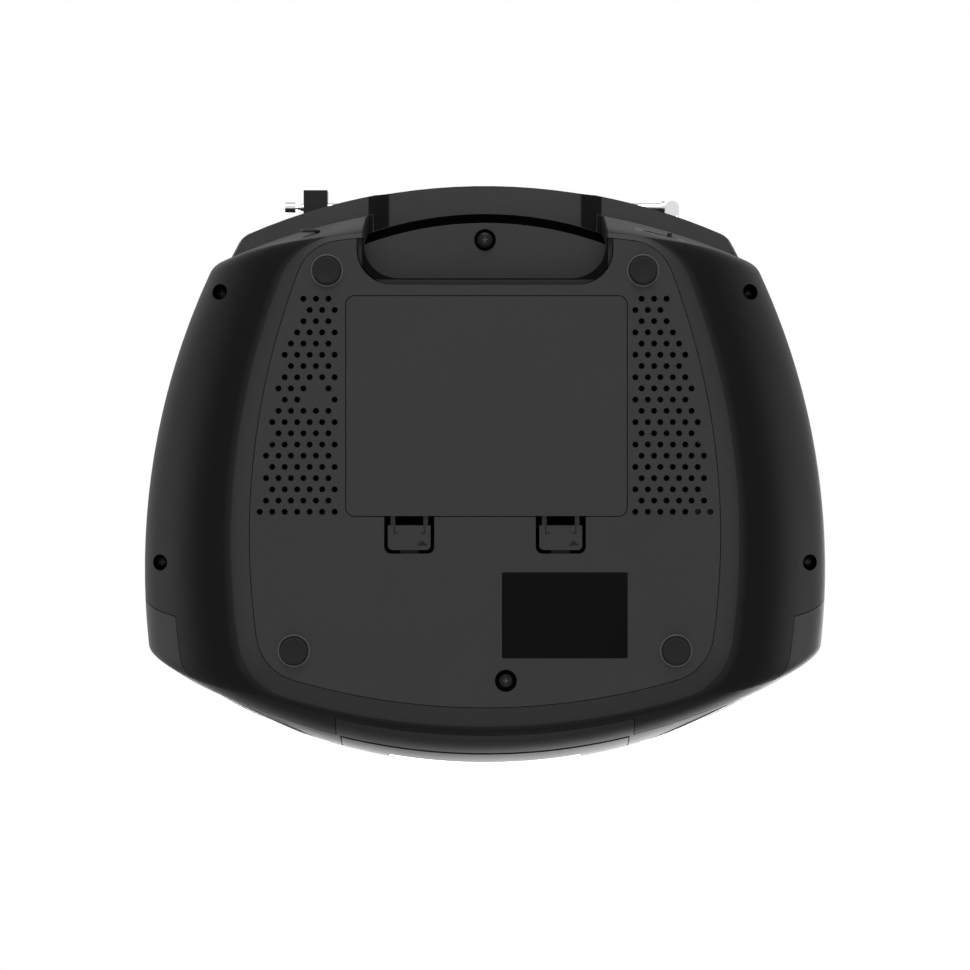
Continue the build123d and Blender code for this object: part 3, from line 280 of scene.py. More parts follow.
def keep_faces(piece, wanted, doubles):
    """Merge a piece's doubles, then delete the faces that aren't wanted."""
    edit_all(piece)
    bpy.ops.mesh.remove_doubles(threshold=doubles)
    bpy.ops.mesh.select_mode(type="FACE")
    bpy.ops.mesh.select_all(action="DESELECT")
    mode("OBJECT")
    for face in piece.data.polygons:
        face.select = not wanted(face)
    mode("EDIT")
    bpy.ops.mesh.delete(type="FACE")
    bpy.ops.mesh.select_mode(type="VERT")
    mode("OBJECT")
    return piece


def profile(unit, *steps):
    """Rings for a turned piece from radii, in a unit of their own, and heights in millimetres."""
    return [(unit * radius, MM * height) for radius, height in steps]


def turned(name, rings, sides=48, hollow=False):
    """A turned piece, drawn out ring by ring along Z, each ring a radius and a height.

    A hollow one is a band round an open middle, closed from its last ring back to its first.
    """
    clear()
    radius, height = rings[0]
    bpy.ops.mesh.primitive_circle_add(vertices=sides, radius=radius, location=(0, 0, height),
                                      fill_type="NOTHING" if hollow else "NGON")
    piece = bpy.context.object
    mode("EDIT")
    for wide, high in rings[1:] + (rings[:1] if hollow else []):
        bpy.ops.mesh.extrude_region_move(TRANSFORM_OT_translate={"value": (0, 0, high - height)})
        bpy.ops.transform.resize(value=(wide / radius, wide / radius, 1), center_override=(0, 0, high))
        radius, height = wide, high
    mode("OBJECT")
    return tidy(settle(named(piece, name)))


def slab(name, corners, low, high, edge=0.0):
    """A flat piece drawn by its corners in X and Y, with its sharp edges softened."""
    clear()
    bpy.ops.mesh.primitive_circle_add(vertices=len(corners), radius=1, fill_type="NGON")
    piece = bpy.context.object
    for vertex, corner in zip(piece.data.vertices, corners):
        vertex.co = (*corner, low)
    edit_all(piece)
    bpy.ops.mesh.extrude_region_move(TRANSFORM_OT_translate={"value": (0, 0, high - low)})
    bpy.ops.mesh.select_all(action="SELECT")
    bpy.ops.mesh.normals_make_consistent()
    mode("OBJECT")
    if edge:
        modified(piece, "BEVEL", width=edge, segments=2, limit_method="ANGLE", angle_limit=radians(40))
    return tidy(named(piece, name))


def rounded_box(name, low, high, corner, edge, steps=5):
    """A plate with rounded upright corners and softened edges."""
    x0, y0, z0 = low
    x1, y1, z1 = high
    points = []
    for cx, cy, start in ((x1, y1, 0), (x0, y1, 90), (x0, y0, 180), (x1, y0, 270)):
        x = cx - corner if cx == x1 else cx + corner
        y = cy - corner if cy == y1 else cy + corner
        for step in range(steps + 1):
            turn = radians(start + 90 * step / steps)
            points.append((x + corner * cos(turn), y + corner * sin(turn)))
    return slab(name, points, z0, z1, edge)


def copies(piece, name, places):
    """Copies of a piece at several places, each with its own mesh, joined into one."""
    made = []
    for place in places:
        twin = piece.copy()
        twin.data = piece.data.copy()
        bpy.context.scene.collection.objects.link(twin)
        made.append(move(twin, *place))
    bpy.data.objects.remove(piece)
    return joined(made, name)


def joined(pieces, name):
    clear()
    for piece in pieces:
        piece.select_set(True)
    bpy.context.view_layer.objects.active = pieces[0]
    if len(pieces) > 1:
        bpy.ops.object.join()
    return named(bpy.context.view_layer.objects.active, name)


def solids(node):
    """Lowest and highest corner of each separate solid of a node, ordered by place."""
    mesh = bmesh.new()
    mesh.from_mesh(frame["nodes"][node].data)
    bmesh.ops.remove_doubles(mesh, verts=mesh.verts, dist=0.005 * MM)
    left = set(mesh.verts)
    found = []
    while left:
        group, queue = [], [left.pop()]
        while queue:
            vertex = queue.pop()
            group.append(vertex.co.copy())
            for edge in vertex.link_edges:
                other = edge.other_vert(vertex)
                if other in left:
                    left.remove(other)
                    queue.append(other)
        found.append((Vector(map(min, zip(*group))), Vector(map(max, zip(*group)))))
    mesh.free()
    return sorted(found, key=lambda box: (round(box[0].x, 4), round(box[0].y, 4)))


def cover(paint, *nodes):
    """Give CAD nodes that keep their own mesh a material."""
    for name in nodes:
        node = frame["nodes"][name]
        node.data.materials.clear()
        node.data.materials.append(paint)


def on_surface(node, x, y, above=True):
    """Where an upright line first meets a node, from above or from below, and the way it faces there."""
    tree = BVHTree.FromObject(frame["nodes"][node], bpy.context.evaluated_depsgraph_get())
    way = Vector((0, 0, -1 if above else 1))
    place, facing, _, _ = tree.ray_cast(Vector((x, y, 0)) - way, way)
    return place, facing if facing.dot(way) < 0 else -facing


def lay_on(piece, node, x, y, above=True, turn=0.0):
    """Lay a flat piece that was drawn round the origin on a node's surface."""
    place, facing = on_surface(node, x, y, above)
    across = Vector((cos(turn), sin(turn), 0))
    across = (across - facing * across.dot(facing)).normalized()
    matrix = Matrix((across, facing.cross(across), facing)).transposed().to_4x4()
    matrix.translation = place
    piece.data.transform(matrix)
    return piece


def disc(radius, sides=24):
    turns = [2 * pi * step / sides for step in range(sides)]
    return [(radius * cos(turn), radius * sin(turn)) for turn in turns]


def oblong(x, y, width, depth):
    """Corners of a rectangle round a middle point."""
    return [(x - width / 2, y - depth / 2), (x + width / 2, y - depth / 2),
            (x + width / 2, y + depth / 2), (x - width / 2, y + depth / 2)]


def arrow(x, size, way=1):
    """Corners of a triangle that points along X."""
    back, tip, half = x - way * size * 0.45, x + way * size * 0.45, size * 0.55
    return [(back, -half), (tip, 0), (back, half)]


def hoop(name, inner, outer, plate, height):
    """A low ring with a rounded crest, standing down from a flat face."""
    root, crest = plate + 0.05 * MM, plate - height
    shoulder = crest + 0.08 * MM
    return turned(name, [(inner, root), (inner + 0.08 * MM, shoulder), (inner + 0.2 * MM, crest),
                         (outer - 0.2 * MM, crest), (outer - 0.08 * MM, shoulder), (outer, root)], 72, True)


def printed(name, outlines, thick):
    """Flat marks of a print, drawn round the origin and standing on it."""
    return joined([slab(name, corners, 0, thick) for corners in outlines], name)


def numeral(name, words, size, thick):
    """A number as a flat mesh round the origin."""
    clear()
    bpy.ops.object.text_add()
    text = bpy.context.object.data
    text.body, text.size, text.extrude, text.resolution_u = words, size, thick / 2, 3
    text.align_x, text.align_y = "CENTER", "CENTER"
    bpy.ops.object.convert(target="MESH")
    piece = named(bpy.context.object, name)
    return tidy(settle(move(piece, 0, 0, thick / 2)))


# Shader groups

def new_group(name, inputs, outputs):
    tree = bpy.data.node_groups.new(name, "ShaderNodeTree")
    for label, kind, value in inputs:
        socket = tree.interface.new_socket(label, in_out="INPUT", socket_type=kind)
        socket.default_value = value
    for label, kind in outputs:
        tree.interface.new_socket(label, in_out="OUTPUT", socket_type=kind)
    return tree, tree.nodes.new("NodeGroupInput").outputs, tree.nodes.new("NodeGroupOutput").inputs


def add_node(tree, kind, values=None, **options):
    node = tree.nodes.new(f"ShaderNode{kind}")
    for option, value in options.items():
        setattr(node, option, value)
    for socket, value in (values or {}).items():
        if hasattr(value, "is_linked"):
            tree.links.new(value, node.inputs[socket])
        else:
            node.inputs[socket].default_value = value
    return node


def sum_up(tree, operation, first, second, kind="Math", **options):
    """The result of a Math or VectorMath node."""
    return add_node(tree, kind, {0: first, 1: second}, operation=operation, **options).outputs[0]


def moulded_skin():
    """Fine moulded grain with faint patches of tone, as on injection-moulded plastic."""
    name = "moulded_skin"
    if name in bpy.data.node_groups:
        return bpy.data.node_groups[name]
    tree, given, out = new_group(name, [
        ("Colour", "NodeSocketColor", (0.02, 0.02, 0.02, 1)),
        ("Patchiness", "NodeSocketFloat", 0.08),
        ("Roughness", "NodeSocketFloat", 0.5),
        ("Rub", "NodeSocketFloat", 0.06),
        ("Grain Size", "NodeSocketFloat", 0.5),
        ("Depth", "NodeSocketFloat", 0.2),
    ], [("Colour", "NodeSocketColor"), ("Roughness", "NodeSocketFloat"), ("Height", "NodeSocketFloat")])
    place = add_node(tree, "TexCoord").outputs["Object"]
    clouds = {"Vector": place, "Scale": 21.0, "Detail": 4.0, "Roughness": 0.55}
    patches = add_node(tree, "TexNoise", clouds).outputs["Fac"]
    centred = sum_up(tree, "SUBTRACT", patches, 0.5)
    level = sum_up(tree, "ADD", sum_up(tree, "MULTIPLY", centred, given["Patchiness"]), 1.0)
    tinted = add_node(tree, "VectorMath", {0: given["Colour"], "Scale": level}, operation="SCALE")
    rough = sum_up(tree, "ADD", sum_up(tree, "MULTIPLY", centred, given["Rub"]), given["Roughness"])
    density = sum_up(tree, "DIVIDE", 1000.0, given["Grain Size"])
    grain = add_node(tree, "TexNoise", {"Vector": place, "Scale": density, "Detail": 2.0})
    height = sum_up(tree, "MULTIPLY", grain.outputs["Fac"], given["Depth"])
    tree.links.new(tinted.outputs["Vector"], out["Colour"])
    tree.links.new(rough, out["Roughness"])
    tree.links.new(height, out["Height"])
    return tree


def inside_box():
    """A mask that is 1 inside a box of the object's own space and 0 outside it."""
    name = "inside_box"
    if name in bpy.data.node_groups:
        return bpy.data.node_groups[name]
    tree, given, out = new_group(name, [
        ("Low", "NodeSocketVector", (-1, -1, -1)),
        ("High", "NodeSocketVector", (1, 1, 1)),
        ("Soft", "NodeSocketFloat", 0.001),
    ], [("Mask", "NodeSocketFloat")])
    place = add_node(tree, "TexCoord").outputs["Object"]
    over = sum_up(tree, "SUBTRACT", place, given["Low"], "VectorMath")
    under = sum_up(tree, "SUBTRACT", given["High"], place, "VectorMath")
    least = sum_up(tree, "MINIMUM", over, under, "VectorMath")
    x, y, z = add_node(tree, "SeparateXYZ", {0: least}).outputs
    depth = sum_up(tree, "MINIMUM", x, sum_up(tree, "MINIMUM", y, z))
    mask = sum_up(tree, "ADD", sum_up(tree, "DIVIDE", depth, given["Soft"]), 0.5, use_clamp=True)
    tree.links.new(mask, out["Mask"])
    return tree


def finish(name, tone, roughness, grain=0.5, depth=0.2, patchiness=0.25, specular=0.5, zones=(), **sockets):
    """A material whose colour, roughness and grain come from the moulded skin group.

    Each zone gives a tone, a roughness and a depth of its own to the boxes that it names.
    """
    if name in bpy.data.materials:
        return bpy.data.materials[name]
    made = bpy.data.materials.new(name)
    made.use_nodes = True
    tree = made.node_tree
    shader = tree.nodes["Principled BSDF"]
    shader.inputs["Specular IOR Level"].default_value = specular
    for socket, value in sockets.items():
        shader.inputs[socket.replace("_", " ")].default_value = value
    levels = {"Colour": (*tone, 1), "Roughness": roughness, "Depth": depth}
    for zone in zones:
        mask = 0.0
        for low, high in zone["boxes"]:
            box = add_node(tree, "Group", {"Low": low, "High": high, "Soft": zone["soft"]},
                           node_tree=inside_box())
            mask = sum_up(tree, "MAXIMUM", mask, box.outputs["Mask"])
        tones = {0: mask, 6: levels["Colour"], 7: (*zone["tone"], 1)}
        levels["Colour"] = add_node(tree, "Mix", tones, data_type="RGBA").outputs[2]
        for label in ("Roughness", "Depth"):
            ends = {"Value": mask, "To Min": levels[label], "To Max": zone[label.lower()]}
            levels[label] = add_node(tree, "MapRange", ends).outputs["Result"]
    levels.update({"Patchiness": patchiness, "Rub": 0.1, "Grain Size": grain})
    skin = add_node(tree, "Group", levels, node_tree=moulded_skin())
    relief = {"Height": skin.outputs["Height"], "Strength": 1.0, "Distance": 0.2 * MM}
    bump = add_node(tree, "Bump", relief).outputs["Normal"]
    tree.links.new(skin.outputs["Colour"], shader.inputs["Base Color"])
    tree.links.new(skin.outputs["Roughness"], shader.inputs["Roughness"])
    tree.links.new(bump, shader.inputs["Normal"])
    return made


def palette(context):
    """Every material of the stereo, made once."""
    look = settings(context, "finish")
    return {
        "front": finish("satin_front", [2 * part for part in look.bowl], 0.45, grain=0.6, depth=0.12,
                        specular=0.1),
        "base": finish("textured_black", look.base, 0.62, grain=0.45, depth=0.5, specular=0.2),
        # Painted shade: near black with no reflection, laid where the recess walls and the screws'
        # counterbores lie in shade.
        "painted_shade_black": finish("painted_shade_black", look.shade, 0.9, depth=0.1, specular=0.0),
        "rubber": finish("matt_rubber", look.rubber, 0.75, grain=0.3, depth=0.3, specular=0.12),
        # Painted highlight: the base's textured black made brighter, so that the low rings round the feet
        # read as lit.
        "ring_highlight": finish("ring_highlight_grey", [2.2 * part for part in look.base], 0.55, grain=0.45, depth=0.3),
        "trim": finish("gloss_trim", look.trim, 0.12, grain=1.0, depth=0.02, Coat_Weight=0.3),
        "grille": finish("grille_paint", (0.012, 0.012, 0.0125), 0.42, grain=0.4),
        "cone": finish("cone_paper", (0.02, 0.02, 0.021), 0.8, grain=0.8, depth=0.7),
        "silver": finish("silver_paint", look.silver, 0.36, grain=0.25, depth=0.08, Metallic=0.55),
        "chrome": finish("bright_plate", look.chrome, 0.14, grain=1.4, depth=0.01, Metallic=1.0),
        "zinc": finish("zinc_plate", look.zinc, 0.38, grain=0.3, depth=0.25, Metallic=1.0),
        "steel": finish("dark_screw", (0.004, 0.004, 0.004), 0.4, grain=0.3, specular=0.12),
        # The floor of each screw's cross recess is a lighter grey than the head.
        "cross_floor": finish("pale_cross_metal", (0.07, 0.07, 0.071), 0.5, grain=0.3),
        "acetal": finish("black_acetal", (0.008, 0.008, 0.0083), 0.5, grain=0.7, depth=0.15, specular=0.2),
        "white_acetal": finish("white_acetal", (0.6, 0.59, 0.55), 0.42, grain=0.7, depth=0.1),
        "belt": finish("belt_black", (0.012, 0.012, 0.012), 0.66),
        "board": finish("green_board", (0.015, 0.11, 0.045), 0.38, grain=2.5, depth=0.5, patchiness=0.9),
        "aluminium": finish("heat_sink_metal", (0.55, 0.56, 0.57), 0.36, grain=0.35, Metallic=1.0),
        "copper": finish("transformer_core", (0.2, 0.13, 0.07), 0.5, grain=1.2, depth=0.6, patchiness=0.8),
        "smoked": finish("smoked_plastic", (0.2, 0.2, 0.21), 0.07, grain=2.0, depth=0.0,
                         Transmission_Weight=1.0, IOR=1.25),
        "display": finish("display_glass", (0.17, 0.2, 0.16), 0.3, grain=1.0, depth=0.02),
        "print": finish("pale_print", look.print_pale, 0.55, grain=0.4, depth=0.05),
        "dark_print": finish("dark_print", look.print_dark, 0.6, grain=0.4, depth=0.05, specular=0.08),
        "sticker": finish("blank_sticker", look.sticker, 0.5, grain=0.6, depth=0.06, specular=0.04),
        "record": finish("record_red", look.record, 0.5, grain=0.4, depth=0.05),
        "lens": finish("pickup_lens", (0.08, 0.12, 0.22), 0.04, grain=2.0, depth=0.0, Coat_Weight=1.0),
    }


class STEREO_OT_stage(bpy.types.Operator):
    """Camera under the cabinet, a pale floor seen from above, a pale surround and soft lamps"""
    bl_idname = "stereo.stage"
    bl_label = "Stage"

    def execute(self, context):
        stage = settings(context, "stage")
        scene = context.scene
        scene.view_settings.view_transform = "Standard"
        clear()
        bpy.ops.object.camera_add(location=(0, -stage.camera_shift, -stage.camera_drop), rotation=(0, pi, 0))
        camera = context.object
        camera.data.lens = stage.lens
        camera.data.sensor_width = 36
        camera.data.clip_start = 0.05
        camera.data.clip_end = 20
        scene.camera = camera

        clear()
        bpy.ops.mesh.primitive_grid_add(x_subdivisions=4, y_subdivisions=4, size=8)
        floor = named(context.object, "table_top")
        floor.data.materials.append(self.floor_finish(stage))
        for kind in ("diffuse", "glossy", "transmission", "shadow"):
            setattr(floor, f"visible_{kind}", False)
        floor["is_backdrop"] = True
        self.surround(scene, stage)
        self.lamp("under_lamp", (0.0, -0.1, -1.2), 1.6, stage.below_power)
        self.lamp("over_lamp", (-0.35, -0.7, 1.5), 1.4, stage.above_power)
        self.lamp("rear_lamp", (0.0, 1.1, -0.55), 0.8, stage.rear_power)
        self.lamp("front_lamp", (0.0, -1.2, -0.5), 0.8, stage.front_power)
        for way in (-1, 1):
            self.lamp("side_lamp", (way * 1.3, -0.15, 0.1), 0.9, stage.side_power)
        return {"FINISHED"}

    def lamp(self, name, place, size, power):
        """A square lamp that faces the middle of the cabinet."""
        clear()
        bpy.ops.object.light_add(type="AREA", location=place)
        lamp = bpy.context.object
        lamp.name = name
        lamp.data.size = size
        lamp.data.energy = power
        towards = Vector((0, 0, 0.06)) - Vector(place)
        lamp.rotation_euler = towards.to_track_quat("-Z", "Y").to_euler()

    def floor_finish(self, stage):
        """Matt from above and clear from below."""
        made = bpy.data.materials.new("table_top")
        made.use_nodes = True
        tree = made.node_tree
        shader = tree.nodes["Principled BSDF"]
        shader.inputs["Base Color"].default_value = (*stage.floor_colour, 1)
        shader.inputs["Roughness"].default_value = 0.8
        under = add_node(tree, "NewGeometry").outputs["Backfacing"]
        clear_air = add_node(tree, "BsdfTransparent").outputs[0]
        mix = add_node(tree, "MixShader", {0: under, 1: shader.outputs[0], 2: clear_air})
        tree.links.new(mix.outputs[0], tree.nodes["Material Output"].inputs["Surface"])
        return made

    def surround(self, scene, stage):
        """A pale world, white to the eye and dimmer as a light; polished faces see it darken downwards."""
        world = bpy.data.worlds.new("pale_surround")
        scene.world = world
        world.use_nodes = True
        tree = world.node_tree
        tree.nodes.clear()
        path = add_node(tree, "LightPath").outputs
        place = add_node(tree, "TexCoord").outputs["Generated"]
        way = add_node(tree, "SeparateXYZ", {0: place}).outputs
        rise = {"Value": way["Z"], "From Min": -1.0, "From Max": 0.1, "To Min": stage.below_level}
        shine = add_node(tree, "MapRange", rise).outputs["Result"]
        shine = sum_up(tree, "MULTIPLY", path["Is Glossy Ray"], shine)
        seen = sum_up(tree, "ADD", path["Is Camera Ray"], shine)
        seen = sum_up(tree, "ADD", seen, path["Is Transmission Ray"], use_clamp=True)
        lift = {"Value": seen, "To Min": stage.world_level}
        level = add_node(tree, "MapRange", lift).outputs["Result"]
        background = add_node(tree, "Background", {"Color": (1, 1, 1, 1), "Strength": level})
        out = add_node(tree, "OutputWorld")
        tree.links.new(background.outputs[0], out.inputs["Surface"])


class STEREO_OT_cabinet(bpy.types.Operator):
    """The shells, satin outside and textured on the plinth, in the hand recess and under the handle; the
    recess floor and the handle's underside are lightened as painted light, the recess walls are near black as
    painted shade, and the lower shell's satin is darker than the upper and front shells as painted shade
    """
    bl_idname = "stereo.cabinet"
    bl_label = "Cabinet"

    def execute(self, context):
        paint = palette(context)
        sizes = settings(context, "cabinet")
        look = settings(context, "finish")
        low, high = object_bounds()
        soft = sizes.soft_edge
        half, wall = sizes.hollow_half, sizes.wall_half
        rear = high[1] + soft
        plinth = ((low[0], low[1], low[2] - soft), (high[0], high[1], sizes.plinth_top))
        recess = ((-half, sizes.hollow_front, sizes.ledge - soft),
                  (half, sizes.hollow_rear, sizes.ledge + soft))
        grip = ((-half, sizes.grip_front, sizes.grip_low), (half, rear, high[2]))
        strip = ((low[0], sizes.grip_front, sizes.strip_low), (high[0], rear, sizes.grip_low))
        pocket = ((-wall, sizes.wall_front, sizes.wall_low), (wall, high[1], sizes.ledge - soft))
        opening = ((-wall, sizes.wall_front, sizes.ledge + soft), (wall, high[1], sizes.wall_high))
        base = {"tone": look.base, "roughness": 0.62, "depth": 0.5, "soft": soft}
        # Painted shade: the walls of the hand recess in both shells are painted near black, as the shade that
        # falls there.
        walls = {"tone": look.shade, "roughness": 0.9, "depth": 0.1, "soft": soft, "boxes": [pocket, opening]}
        # Painted light: the recess floor takes the base finish at a lighter tone, against the shade of the
        # recess.
        floor = {**base, "tone": look.ledge, "boxes": [recess]}
        # Painted light: the handle's underside and the rear strip take the base finish at a lighter tone,
        # against their shade.
        handle = {**base, "tone": look.grip, "soft": sizes.grip_blend, "boxes": [grip, strip]}
        # Painted shade: the lower shell takes the bowl tone at half that of the upper and front shells.
        cover(finish("lower_shell", look.bowl, 0.5, depth=0.12, specular=0.08,
                     zones=[{**base, "boxes": [plinth]}, walls, floor]), "lower_cabinet")
        cover(finish("upper_shell", [2 * part for part in look.bowl], 0.42, depth=0.12,
                     zones=[handle, {**walls, "boxes": [opening]}], specular=0.2), "upper_cabinet")
        cover(paint["front"], "front_cabinet", "cassette_door", "cd_lid")
        self.niche_coat(paint, sizes)
        # Painted shade: the small slit is not cut; a dark flat mark on the shell stands in for the shade
        # inside it.
        slit_x, slit_y = sizes.slit_half_length, sizes.slit_half_width
        slit = rounded_box("shell_slit", (-slit_x, -slit_y, -0.3 * MM), (slit_x, slit_y, 0.03 * MM),
                           0.9 * slit_y, 0.01 * MM)
        lay_on(slit, "lower_cabinet", sizes.slit_x, sizes.slit_y, above=False, turn=sizes.slit_turn)
        dress(slit, paint["dark_print"], "lower_cabinet")
        self.lid_ring(paint, sizes)
        return {"FINISHED"}

    def niche_coat(self, paint, sizes):
        """A near-black sheet of painted shade on the curved wall behind the floor of the hand recess."""
        coat = bpy.data.objects.new("niche_coat", frame["nodes"]["lower_cabinet"].data.copy())
        bpy.context.scene.collection.objects.link(coat)

        def on_wall(face):
            corners = [coat.data.vertices[index].co for index in face.vertices]
            across = all(abs(corner.x) < sizes.wall_half for corner in corners)
            over_ledge = all(corner.z > sizes.ledge - 0.1 * MM for corner in corners)
            rearward = face.normal.y > 0.5 and face.center.y > sizes.hollow_front
            from_post = hypot(face.center.x, face.center.y - sizes.post_y)
            return across and over_ledge and rearward and from_post > sizes.post_clear

        keep_faces(coat, on_wall, 0.005 * MM)
        modified(coat, "SOLIDIFY", thickness=sizes.coat, offset=1)
        dress(tidy(coat), paint["painted_shade_black"], "lower_cabinet")

    def lid_ring(self, paint, sizes):
        """The bright ring round the window in the lid."""
        low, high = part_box("lid_window")
        middle = (low + high) / 2
        radius = (high.x - low.x) / 2
        inner, outer = radius + sizes.ring_inner, radius + sizes.ring_outer
        top = on_surface("cd_lid", middle.x + outer, middle.y)[0].z
        root = top - 0.4 * MM
        ring = turned("lid_ring", [(inner, root), (inner + 0.3 * MM, top + 0.3 * MM),
                                   (outer - 0.5 * MM, top + 0.35 * MM), (outer, root)], 96, True)
        dress(move(ring, middle.x, middle.y, 0), paint["silver"], "cd_lid")


class STEREO_OT_underside(bpy.types.Operator):
    """Base plate, battery door with its latches, rubber feet and the blank sticker"""
    bl_idname = "stereo.underside"
    bl_label = "Underside"

    def execute(self, context):
        paint = palette(context)
        sizes = settings(context, "underside")
        cover(paint["base"], "base_plate", "battery_door", "battery_latch_left", "battery_latch_right")
        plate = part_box("base_plate")[0].z
        self.feet(paint, sizes, plate)
        self.latch_marks(paint, sizes)
        x, y = -sizes.sticker_x, -sizes.sticker_y
        half_x, half_y = sizes.sticker_width / 2, sizes.sticker_depth / 2
        sticker = rounded_box("blank_sticker", (x - half_x, y - half_y, plate - sizes.film),
                              (x + half_x, y + half_y, plate + sizes.film), 0.6 * MM, 0.02 * MM, 3)
        dress(sticker, paint["sticker"], "base_plate")
        return {"FINISHED"}

    def feet(self, paint, sizes, plate):
        boxes = solids("feet")
        low, high = boxes[0]
        radius, top = (high.x - low.x) / 2, high.z
        places = [((low + high) / 2).xy.to_3d() for low, high in boxes]
        tread = profile(radius, (0.2, 0.25), (0.72, 0.15), (0.78, 0.0), (0.9, 0.0), (0.97, 0.25), (1.0, 0.7))
        foot = turned("foot", tread + [(radius, top)])
        rubber = copies(foot, "rubber_feet", places)
        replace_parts(dress(rubber, paint["rubber"], "feet"), "feet")
        # Painted highlight: the rings round the feet are brighter than the base so that they read as lit
        # edges.
        ring = hoop("ring", sizes.foot_ring - 0.6 * MM, sizes.foot_ring, plate, 0.3 * MM)
        dress(copies(ring, "foot_rings", places), paint["ring_highlight"], "base_plate")

    def latch_marks(self, paint, sizes):
        """Guide lines beside each latch's rear corners and an arrow towards the door."""
        line, leg, toe = 0.45 * MM, 3.2 * MM, 1.8 * MM
        leg_apart, leg_back, toe_in, toe_back = 6.4 * MM, 1.9 * MM, 0.7 * MM, 3.3 * MM
        tip_back, arrow_length, arrow_half = 6.4 * MM, 2.2 * MM, 2.3 * MM
        for side in ("left", "right"):
            low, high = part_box(f"battery_latch_{side}")
            x = (low.x + high.x) / 2
            face, rear = low.z, high.y
            outlines = []
            for way in (-1, 1):
                leg_x = x + way * leg_apart
                outlines.append(oblong(leg_x, rear - leg_back, line, leg))
                outlines.append(oblong(leg_x - way * toe_in, rear - toe_back, toe, line))
            tip_x, tip_y = x - sizes.arrow_shift, rear - tip_back
            base_y = tip_y - arrow_length
            outlines.append([(tip_x - arrow_half, base_y), (tip_x + arrow_half, base_y), (tip_x, tip_y)])
            marks = [slab("mark", corners, face - sizes.film, face + sizes.film) for corners in outlines]
            dress(joined(marks, f"latch_marks_{side}"), paint["dark_print"], f"battery_latch_{side}")


class STEREO_OT_fixings(bpy.types.Operator):
    """Cross-head screws; near the centre line each head gets a near-black ring of painted shade, standing in
    for the shade of its counterbore
    """
    bl_idname = "stereo.fixings"
    bl_label = "Fixings"

    def execute(self, context):
        paint = palette(context)
        sizes = settings(context, "underside")
        made, rings, floors = [], [], []
        for low, high in solids("screws"):
            middle = (low + high) / 2
            radius = (high.x - low.x) / 2
            head = self.screw(radius, high.z - low.z)
            made.append(tidy(move(head, middle.x, middle.y, low.z), 40))
            floor = slab("floor", self.cross(0.3 * MM, 1.4 * MM), 0.8 * MM, 1.0 * MM)
            floors.append(move(floor, middle.x, middle.y, low.z))
            # Painted shade: screws near the centre line get a near-black ring round the head, as the shade of
            # a counterbore.
            if abs(middle.x) < sizes.washer_reach:
                seat = "base_plate" if middle.y < 0 else "lower_cabinet"
                outer = radius + sizes.washer
                face = on_surface(seat, middle.x + outer, middle.y, above=False)[0].z
                ring = hoop("ring", radius + 0.1 * MM, outer, face, 0.25 * MM)
                rings.append(move(ring, middle.x, middle.y, 0))
        screws = joined(made, "case_screws")
        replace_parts(dress(screws, paint["steel"], "screws"), "screws")
        dress(joined(floors, "screw_crosses"), paint["cross_floor"], "screws")
        dress(joined(rings, "screw_rings"), paint["painted_shade_black"], "base_plate")
        return {"FINISHED"}

    def screw(self, radius, height):
        """A domed head with a cross cut into it, on the start of its shank."""
        crown = profile(radius, (0.3, 0.0), (0.7, 0.15), (0.92, 0.5), (1.0, 1.0), (1.0, 1.7), (0.47, 1.75))
        head = turned("screw", crown + [(radius * 0.47, height)], 32)
        tool = slab("cross", self.cross(0.28 * MM, 1.35 * MM), -1 * MM, 0.95 * MM)
        modified(head, "BOOLEAN", operation="DIFFERENCE", object=tool, solver="EXACT")
        bpy.data.objects.remove(tool)
        return head

    @staticmethod
    def cross(near, far):
        """Corners of a cross with arms of a half width and a reach."""
        return [(-near, -far), (near, -far), (near, -near), (far, -near), (far, near), (near, near),
                (near, far), (-near, far), (-near, near), (-far, near), (-far, -near), (-near, -near)]


